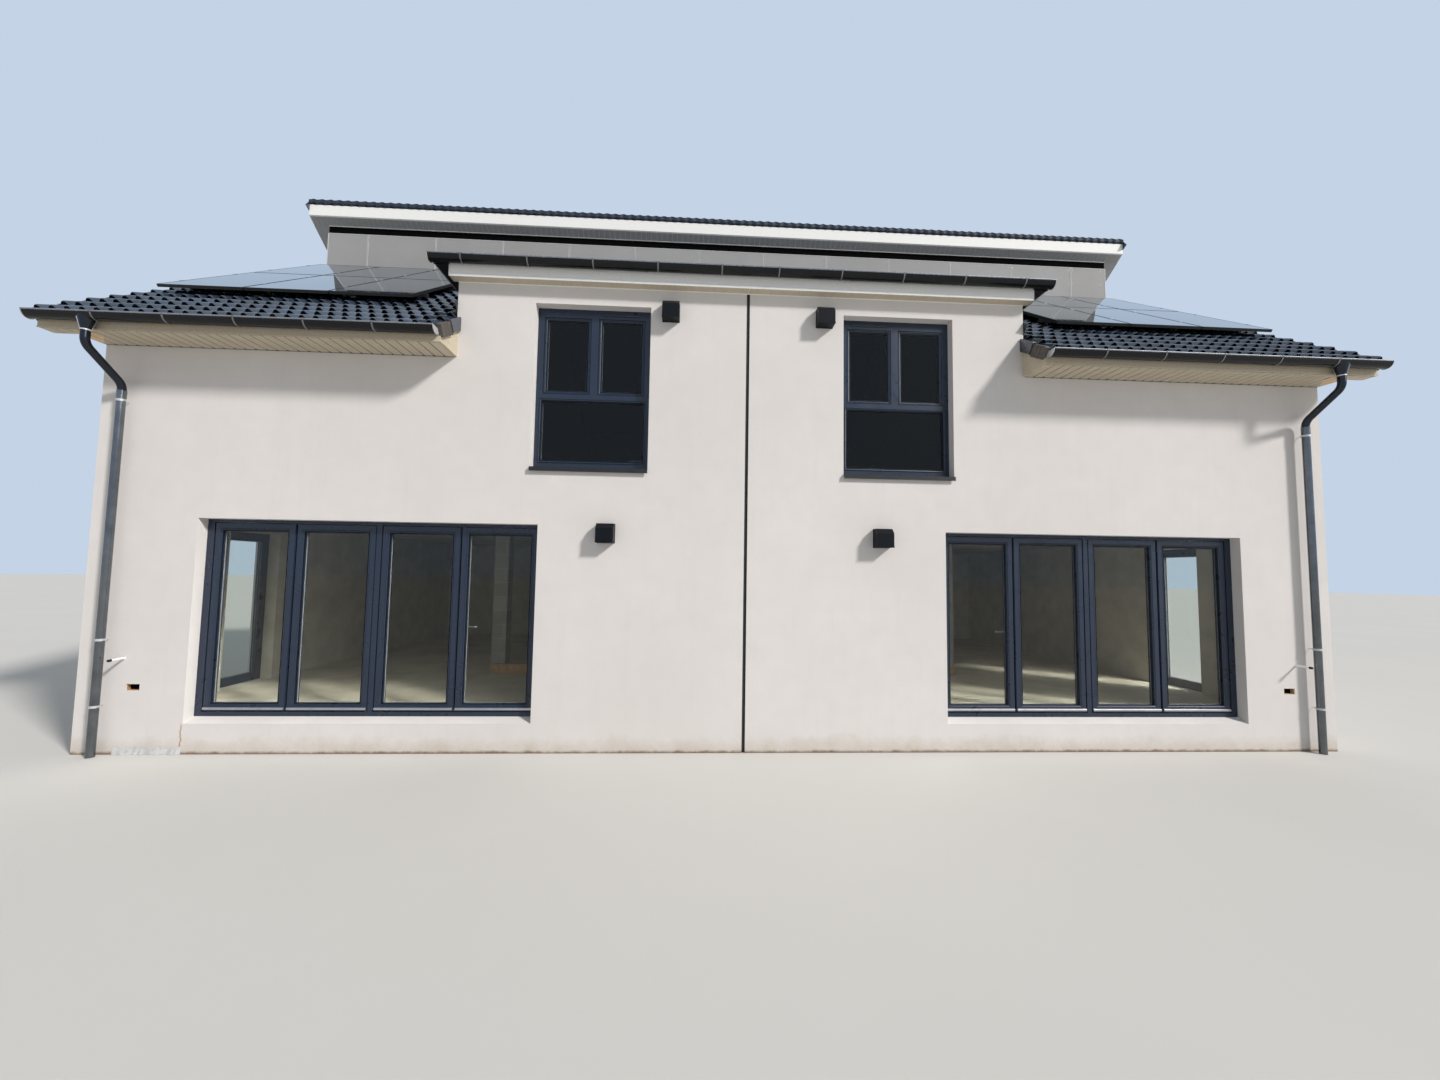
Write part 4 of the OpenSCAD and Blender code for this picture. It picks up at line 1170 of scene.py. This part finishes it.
def panel_trims():
    """Thin edge profiles round the grey panels, pale as a painted highlight along the panels' edges, and
    their screws.
    """
    shape, screws = blank(2, quarter(1, 1))
    z0 = MAIN.top(CLAD_Y) + PANEL_FOOT
    z1 = MAIN.under(2 * HALF_D - CLAD_FACE) - VENT_H
    y0 = CLAD_Y - 0.003
    y1 = CLAD_Y + PANEL_T
    shape.box(-HALF_W, HALF_W, y0, y1, z1, z1 + PANEL_TRIM)
    shape.box(-HALF_W, HALF_W, y0, y1, z0 - PANEL_TRIM, z0)
    for x in (HALF_W, -HALF_W):
        shape.box(x - 0.006, x + 0.006, y0, y1 + 0.01, z0, z1)
    for k in range(-6, 6):
        for turn in HALVES:
            x = (k + 0.5) * PANEL_PITCH + turn * PANEL_GAP / 2
            shape.box(x, x + turn * PANEL_TRIM, y0, y1, z0, z1)
    for k in range(-6, 7):
        for x in (k * PANEL_PITCH - SCREW_REACH, k * PANEL_PITCH, k * PANEL_PITCH + SCREW_REACH):
            if abs(x) > HALF_W - 0.03:
                continue
            for z in (z0 + SCREW_EDGE, (z0 + z1) / 2, z1 - SCREW_EDGE):
                screws.tube([(x, y0, z), (x, CLAD_Y + 0.001, z)], 0.006, 10)
    piece("panel_trims", shape, TRIM_HIGHLIGHT)
    piece("panel_screws", screws, ALUMINIUM)


def flashings():
    """Sheet aprons where the roofs meet the clad wall, and along the raised centre's cheeks."""
    shape = Shape()
    for _ in quarters(shape, ways=FRONT):
        for roof, x0, x1 in ((MAIN, RAISED_X + 0.02, HALF_W), (RAISED, 0.0, RAISED_X)):
            top_z = roof.top(CLAD_Y) + PANEL_FOOT
            s = roof.length(CLAD_Y)
            loops = []
            for x in (x0, x1):
                _, bend_y, bend_z = roof.at(x, s - 0.03, FLASH_H)
                _, foot_y, foot_z = roof.at(x, s - 0.16, FLASH_H)
                loops.append([
                    (x, CLAD_Y + 0.002, top_z), (x, CLAD_Y - 0.006, top_z),
                    (x, bend_y, bend_z + FLASH_T), (x, foot_y, foot_z + FLASH_T),
                    (x, foot_y, foot_z), (x, bend_y + 0.004, bend_z), (x, CLAD_Y + 0.002, bend_z + 0.02)])
            shape.bridge(loops)
    profile = ((0.0, 0.0), (0.002, 0.15), (0.006, 0.15), (0.008, 0.02), (0.11, 0.018), (0.11, 0.012))
    for _ in quarters(shape):
        shape.bridge([[MAIN.at(RAISED_X + out, s, h) for out, h in profile]
                      for s in (0.62, MAIN.length(CLAD_Y) - 0.02)])
    piece("roof_flashings", shape, BLACK)


# Solar modules

RIM_W = 0.012
GLASS_T = 0.002
CLAMP_LAP = 0.012
CLAMP_L = 0.05


def slab(shape, x0, x1, s0, s1, h0, h1):
    """Box on the low roof's slope."""
    corners = ((x0, s0), (x1, s0), (x1, s1), (x0, s1))
    shape.bridge([[MAIN.at(x, s, h) for x, s in corners] for h in (h0, h1)])


def module(cells, rims, clamps, x1, s0):
    """Cells under glass, rim and clamps of the module with its outer lower corner given.

    The points of the cells carry their place on the module in metres.
    """
    x0, s1 = x1 - MODULE_W, s0 + MODULE_L
    inner_x0, inner_x1, inner_s0, inner_s1 = x0 + RIM_W, x1 - RIM_W, s0 + RIM_W, s1 - RIM_W
    h = MODULE_LIFT + MODULE_T
    slab(cells, inner_x0, inner_x1, inner_s0, inner_s1, h, h + GLASS_T)
    u, v = inner_x1 - inner_x0, inner_s1 - inner_s0
    cells.uvs += 2 * [(0, 0), (u, 0), (u, v), (0, v)]
    for sides in (
            (x0, x1, s0, inner_s0), (x0, x1, inner_s1, s1),
            (x0, inner_x0, inner_s0, inner_s1), (inner_x1, x1, inner_s0, inner_s1)):
        slab(rims, *sides, h, h + GLASS_T + 0.001)
    for share in (0.22, 0.78):
        s = s0 + share * MODULE_L
        slab(clamps, x1 - CLAMP_LAP, x1 + MODULE_GAP + CLAMP_LAP, s, s + CLAMP_L, h, h + 0.006)
        slab(clamps, x1 + 0.002, x1 + MODULE_GAP - 0.002, s, s + CLAMP_L, MODULE_LIFT, h)


def module_faces():
    """Cells, rims and clamps of the solar modules on both low roofs."""
    cells, rims, clamps = blank(3)
    s_low = (MODULE_Y + MAIN.out) / math.cos(MAIN.pitch)
    x_high = EDGE - MODULE_MARGIN
    for _ in quarters(cells, rims, clamps, ways=FRONT):
        for col in range(MODULE_COLS):
            x1 = x_high - col * (MODULE_W + MODULE_GAP)
            for row in range(MODULE_ROWS):
                module(cells, rims, clamps, x1, s_low + row * (MODULE_L + MODULE_GAP))
    piece("solar_cells", cells, CELLS)
    piece("module_rims", rims, BLACK)
    piece("module_clamps", clamps, ALUMINIUM, bevel=0.001)


# Windows and doors

GASKET = 0.005
SPACER = 0.0075
SPACER_SET = 0.004
FIELD_T = 0.008
BEAD_W = 0.026
FIXED_FACE = 0.035
VENT_W = 0.45
LEVER_OUT = 0.045
LEVER_L = 0.11
LEVER_R = 0.008


def glazing_trim(trims, x0, x1, z0, z1, y_glass, y_face, face):
    """Raised field and sloping bead of the profile round a pane, its gasket and spacer bar.

    The profile is given by its outer edges and the width of its face.
    """
    beads, gaskets, spacers = trims
    bead = face - BEAD_W
    field_y = y_face - FIELD_T
    beads.ring(x0, x1, z0, z1, [
        (0.005, y_face), (0.007, field_y), (bead - 0.004, field_y), (bead, y_face - 0.002),
        (bead + 0.003, y_face - 0.005), (face, y_face + 0.004), (face, y_face + 0.01),
        (face - 0.002, y_face)])
    outer, inner = face - 0.001, face - 0.001 + GASKET
    gaskets.ring(x0, x1, z0, z1, [
        (outer, y_glass - 0.006), (inner, y_glass - 0.003), (inner, y_glass), (outer, y_glass)])
    near, far = y_glass + SPACER_SET, y_glass + PANE_T - SPACER_SET
    inner = face + SPACER
    spacers.ring(x0, x1, z0, z1, [(face, near), (inner, near), (inner, far), (face, far)])


def glazing_pieces(name, trims, body="house"):
    for part, shape, look in zip(("beads", "gaskets", "spacers"), trims, (FRAME, RUBBER, SPACER_BAR)):
        piece(name.format(part), shape, look, body)


def window_profiles(x0, x1, z0, z1, mid_z):
    """Outer edges of the profiles of one window: the fixed pane's, then the casements'."""
    mid_x = (x0 + x1) / 2
    bar, fixed = BAR_W / 2, FIXED_FACE
    left, right, low, high = x0 + WINDOW_FACE, x1 - WINDOW_FACE, mid_z + bar, z1 - WINDOW_RAIL
    return [
        (left - fixed, right + fixed, z0 + WINDOW_RAIL - fixed, mid_z - bar + fixed),
        (left, mid_x - bar, low, high), (mid_x + bar, right, low, high)]


def window_list():
    """Place, x, width, foot, head and transom height of every window with casements."""
    upper = (WINDOW_W, WINDOW_Z0, WINDOW_Z1, TRANSOM_H)
    rear = (REAR_WINDOW_W, REAR_WINDOW_Z0, DOOR_HEAD_Z, REAR_TRANSOM_H)
    windows = [(quarter(side, way), WINDOW_X, *upper) for side, way in quarters()]
    for side in HALVES:
        windows.append((gable(side), -WINDOW_W / 2, *upper))
        windows.append((quarter(side, -1), REAR_WINDOW_X, *rear))
    return windows


def window_trims():
    """Beads, gaskets and spacers of the windows, casement seals, vents and handles."""
    beads, gaskets, spacers, vents, handles = blank(5)
    trims = (beads, gaskets, spacers)
    sash_y = FRAME_SET + SASH_SET
    for place, x0, width, z0, z1, transom in window_list():
        for shape in (*trims, vents, handles):
            shape.place = place
        x1 = x0 + width
        mid_z = z0 + transom
        fixed, *casements = window_profiles(x0, x1, z0, z1, mid_z)
        glazing_trim(trims, *fixed, PANE_Y, FRAME_SET, FIXED_FACE)
        for edges in casements:
            glazing_trim(trims, *edges, PANE_Y, sash_y, SASH_W)
            gaskets.ring(*edges, [
                (0, FRAME_SET + 0.004), (0.004, sash_y - 0.002), (0.004, sash_y), (0, sash_y)])
        vent_x = (x0 + x1) / 2 - BAR_W / 2 - SASH_W - VENT_W - 0.01
        vents.box(vent_x, vent_x + VENT_W, FRAME_SET - 0.012, FRAME_SET, z1 - 0.075, z1 - 0.057)
        x = (x0 + x1) / 2 + BAR_W / 2 + SASH_W / 2
        y = FRAME_SET + FRAME_D
        z = mid_z + 0.45 * (z1 - mid_z)
        handles.box(x - 0.014, x + 0.014, y, y + 0.008, z - 0.035, z + 0.035)
        handles.tube([(x, y, z), (x, y + LEVER_OUT, z)], LEVER_R, 10)
        handles.tube([(x, y + LEVER_OUT, z + 0.01), (x, y + LEVER_OUT, z - LEVER_L)], LEVER_R, 10)
    for side in HALVES:
        for shape in trims:
            shape.place = gable(side)
        glazing_trim(trims, SIDE_X0 + WINDOW_FACE, SIDE_X0 + SIDE_W - WINDOW_FACE,
                     FLOOR_Z + WINDOW_FACE, SIDE_Z1 - WINDOW_FACE, PANE_Y, FRAME_SET, SASH_W)
    glazing_pieces("window_{}", trims)
    piece("window_vents", vents, STEEL, slot="dark_frame", bevel=0.002)
    piece("window_handles", handles, STEEL, smooth=40)


FRAME_X0 = DOOR_X0 - FRAME_LAP
FRAME_X1 = DOOR_X1 + FRAME_LAP_OUT
UNIT_W = (FRAME_X1 - FRAME_X0 - POST_W) / 2 - FRAME_FACE
LEAF_W = (UNIT_W - 2 * LEAF_GAP - MEET_GAP) / 2
LEAF_Z0 = FLOOR_Z + FRAME_FOOT + LEAF_GAP
LEAF_Z1 = DOOR_HEAD_Z + HEAD_LAP - FRAME_FACE - LEAF_GAP
LEAF_Y0 = FRAME_SET + FRAME_D - LEAF_T
LEAF_X0 = {
    1: FRAME_X1 - FRAME_FACE - LEAF_GAP - LEAF_W,
    2: FRAME_X1 - FRAME_FACE - LEAF_GAP - 2 * LEAF_W - MEET_GAP,
    3: FRAME_X0 + FRAME_FACE + LEAF_GAP + LEAF_W + MEET_GAP,
    4: FRAME_X0 + FRAME_FACE + LEAF_GAP}
DRIP_Z0 = LEAF_Z0 + 0.02
DRIP_Z1 = LEAF_Z0 + 0.047
DRIP_OUT = 0.0235
HANDLE_LEAVES = {1: -1, 4: 1}
HANDLE_Z = FLOOR_Z + 1.05


def leaf_trims(side, number):
    """Beads, gaskets, drip strip and handle of one door leaf, which ride on it."""
    body = f"leaf_{'right' if side > 0 else 'left'}_{number}"
    x0 = LEAF_X0[number]
    x1 = x0 + LEAF_W
    *trims, strip, handle = blank(5, quarter(side, 1))
    glass_y = LEAF_Y0 + (LEAF_T - PANE_T) / 2
    glazing_trim(trims, x0, x1, LEAF_Z0, LEAF_Z1, glass_y, LEAF_Y0, STILE_W)
    y = LEAF_Y0 - DRIP_OUT
    strip.along_x([
        (LEAF_Y0, DRIP_Z0), (y, DRIP_Z0), (y, DRIP_Z1 - 0.006), (LEAF_Y0 - 0.018, DRIP_Z1),
        (LEAF_Y0, DRIP_Z1)], x0 + 0.01, x1 - 0.01)
    glazing_pieces("{}_" + body, trims, body)
    piece(f"drip_{body}", strip, ALUMINIUM, body, bevel=0.001)
    if number in HANDLE_LEAVES:
        turn = HANDLE_LEAVES[number]
        x = (x0 if turn < 0 else x1) - turn * STILE_W / 2
        y, z = LEAF_Y0 + LEAF_T, HANDLE_Z
        handle.box(x - 0.015, x + 0.015, y, y + 0.01, z - 0.08, z + 0.08)
        handle.tube([(x, y, z), (x, y + 0.05, z), (x - turn * 0.01, y + 0.056, z),
                     (x - turn * 0.13, y + 0.056, z)], 0.009, 12)
        piece(f"handle_{body}", handle, ALUMINIUM, body, bevel=0.001, smooth=40)


PULL_X = REAR_DOOR_X1 - 0.18
PULL_OUT = 0.06
PULL_ZS = (FLOOR_Z + 0.5, FLOOR_Z + 1.7)
PULL_FIXING_ZS = (FLOOR_Z + 0.65, FLOOR_Z + 1.55)
GROOVE_Z = FLOOR_Z + 0.45
GROOVE_STEP = 0.42
GROOVE_X0 = REAR_DOOR_X0 + 0.12
GROOVE_X1 = REAR_DOOR_X1 - 0.26


def entrance_trims():
    """Pull bars and grooves of the closed rear doors."""
    bars, grooves = blank(2)
    face = FRAME_SET + SASH_SET
    y = face - PULL_OUT
    for _ in quarters(bars, grooves, ways=REAR):
        bars.tube([(PULL_X, y, z) for z in PULL_ZS], 0.015, 16)
        for z in PULL_FIXING_ZS:
            bars.tube([(PULL_X, y, z), (PULL_X, face, z)], 0.009, 12)
        for k in range(4):
            z = GROOVE_Z + GROOVE_STEP * k
            grooves.box(GROOVE_X0, GROOVE_X1, face - 0.002, face + 0.002, z, z + 0.012)
    piece("entrance_bars", bars, ALUMINIUM, smooth=40)
    piece("entrance_grooves", grooves, ALUMINIUM)


# Small things on the walls and inside

STUB_X = 7.1
STUB_Z = 1.077
RECESS_X = HALF_W - 0.61
RECESS_Z = 0.748
RECESS_HALF_W = 0.073
RECESS_HALF_H = 0.036
LINING_T = 0.004
HOODS = ((0.97, 5.27), (1.7, 2.49))
HOOD_HALF_W = 0.108
HOOD_H = 0.234
HOOD_OUT = 0.156
PLANK = (3.43, 4.04, 2.78, 2.83)
PLANK_H = 0.16
FOIL_X0 = 6.42
FOIL_X1 = 7.14
FOIL_STEPS = 36


def wall_fittings():
    """Stub of an overflow pipe, lining of the wall recess, and lips of the hoods."""
    stub, cap, lining, back, lips = blank(5)
    a, b = RECESS_HALF_W, RECESS_HALF_H
    for _ in quarters(stub, cap, lining, back, lips, ways=FRONT):
        x, z = STUB_X, STUB_Z
        stub.tube([(x, 0.0, z), (x, -0.05, z), (x, -0.15, z - 0.004)], 0.012, 16)
        cap.tube([(x, -0.145, z - 0.004), (x, -0.175, z - 0.005)], 0.015, 16)
        x, z = RECESS_X, RECESS_Z
        lining.ring(x - a, x + a, z - b, z + b, [
            (0, 0.012), (LINING_T, 0.012), (LINING_T, 0.06), (0, 0.06)])
        # Near-black back of the recess: painted shade in its hollow
        back.box(x - a + LINING_T, x + a - LINING_T, 0.05, 0.059, z - b + LINING_T, z + b - LINING_T)
        for x, z in HOODS:
            w = HOOD_HALF_W
            lips.box(x - w, x + w, -HOOD_OUT, 0.01 - HOOD_OUT, z - 0.004, z + 0.012)
            lips.box(x - w - 0.001, x + w + 0.001, -0.004, 0.0, z - 0.004, z + HOOD_H)
    piece("overflow_stubs", stub, WHITE, smooth=40)
    piece("overflow_caps", cap, RUBBER, smooth=40)
    piece("recess_linings", lining, TIMBER)
    piece("recess_backs", back, VOID_SHADE)
    piece("hood_lips", lips, HOOD, bevel=0.002)


def pier_planks():
    """Plank left at the foot of each inner pier."""
    shape = Shape()
    for _ in quarters(shape, ways=FRONT):
        shape.box(*PLANK, FLOOR_Z, FLOOR_Z + PLANK_H)
    piece("pier_planks", shape, TIMBER, bevel=0.004)


def foot_foil():
    """Crumpled end of sealing film that looks out at the foot of the left pier."""
    shape = Shape(quarter(-1, 1))
    loops = []
    for k in range(FOIL_STEPS + 1):
        x = FOIL_X1 - k * (FOIL_X1 - FOIL_X0) / FOIL_STEPS
        out = random.uniform(0.006, 0.03)
        top = random.uniform(0.05, 0.085)
        section = ((-0.001, 0.0), (-out, 0.0), (-out * 0.6, top * 0.5), (-0.006, top), (-0.001, top))
        loops.append([(x, y, z) for y, z in section])
    shape.bridge(loops)
    piece("foot_foil", shape, FOIL, smooth=50)


# Stage, lamps and camera

LAMP_COLOUR = (1.0, 0.962, 0.922)
LAMP_DIRECTION = (-0.67, 0.49, -0.56)
CAMERA_AT = (-0.6419, -10.6658, 2.1548)
CAMERA_YAW = 0.051165
CAMERA_PITCH = 0.061930
CAMERA_ROLL = 0.015105
LENS = 13.0635
SENSOR = 36.0
FLOOR_REACH = 150.0


def add_camera():
    """The photograph's viewing angle."""
    yaw, pitch, roll = CAMERA_YAW, CAMERA_PITCH, CAMERA_ROLL
    right = Vector((math.cos(yaw), -math.sin(yaw), 0))
    ahead = Vector((math.sin(yaw) * math.cos(pitch), math.cos(yaw) * math.cos(pitch), math.sin(pitch)))
    up = right.cross(ahead)
    across = math.cos(roll) * right + math.sin(roll) * up
    upright = math.cos(roll) * up - math.sin(roll) * right
    turn = Matrix((across, upright, -ahead)).transposed().to_4x4()
    data = bpy.data.cameras.new("camera")
    data.lens = LENS
    data.sensor_width = SENSOR
    data.clip_end = 400.0
    camera = add_object("camera", data)
    camera.matrix_world = Matrix.Translation(CAMERA_AT) @ turn
    bpy.context.scene.camera = camera


def add_lamp(name, energy, angle, gloss):
    """A warm lamp from the sun's side. It lights either gloss alone or all but gloss."""
    data = bpy.data.lights.new(name, "SUN")
    data.energy = energy
    data.angle = math.radians(angle)
    data.color = LAMP_COLOUR
    lamp = add_object(name, data)
    lamp.rotation_euler = Vector(LAMP_DIRECTION).to_track_quat("-Z", "Y").to_euler()
    lamp.visible_glossy = gloss
    lamp.visible_diffuse = not gloss
    lamp.visible_transmission = not gloss


def add_world():
    """Soft even fill, shown to the camera, to gloss and through glass as a pale backdrop."""
    world = bpy.data.worlds.new("studio")
    graph = Graph(world)
    fill = graph.nodes["Background"]
    graph.fill(fill, {"Color": (0.86, 0.93, 1.0, 1.0), "Strength": 0.42})
    shown = graph.node("ShaderNodeBackground", {"Color": srgb((196, 211, 230))})
    rays = graph.node("ShaderNodeLightPath").outputs
    seen = graph.math("MAXIMUM", rays["Is Camera Ray"], rays["Is Glossy Ray"])
    seen = graph.math("MAXIMUM", seen, rays["Is Transmission Ray"])
    mix = graph.node("ShaderNodeMixShader", {0: seen, 1: fill.outputs[0], 2: shown.outputs[0]})
    graph.fill(graph.nodes["World Output"], {"Surface": mix.outputs[0]})
    bpy.context.scene.world = world


def add_floor():
    mesh = bpy.data.meshes.new("floor")
    rim = [(FLOOR_REACH * c, FLOOR_REACH * s, -0.002) for c, s in circle(64)]
    mesh.from_pydata(rim, [], [list(range(len(rim)))])
    mesh.materials.append(plain_look("floor", (205, 203, 199), (208, 206, 202), 0.9, 0.3, 6.0))
    add_object("floor", mesh)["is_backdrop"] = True


dress_nodes()
front_tiles()
rear_tiles()
raised_tiles()
verge_flaps()
top_edge_caps()
eave_soffits()
top_soffit()
vent_gap()
rear_verge_soffits()
eave_trims()
raised_verge_trims()
raw_soffit_corners()
gutter_trims()
downpipes()
pipe_trims()
panel_trims()
flashings()
module_faces()
window_trims()
for half in HALVES:
    for leaf_number in LEAF_X0:
        leaf_trims(half, leaf_number)
entrance_trims()
wall_fittings()
pier_planks()
foot_foil()
add_camera()
add_lamp("key", 3.5, 7, False)
add_lamp("sheen", 2.4, 45, True)
add_world()
add_floor()
bpy.context.scene.view_settings.view_transform = "Standard"

boxes = {"cad": cad_box, "visual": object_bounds()}
{k: [list(low), list(high)] for k, (low, high) in boxes.items()}
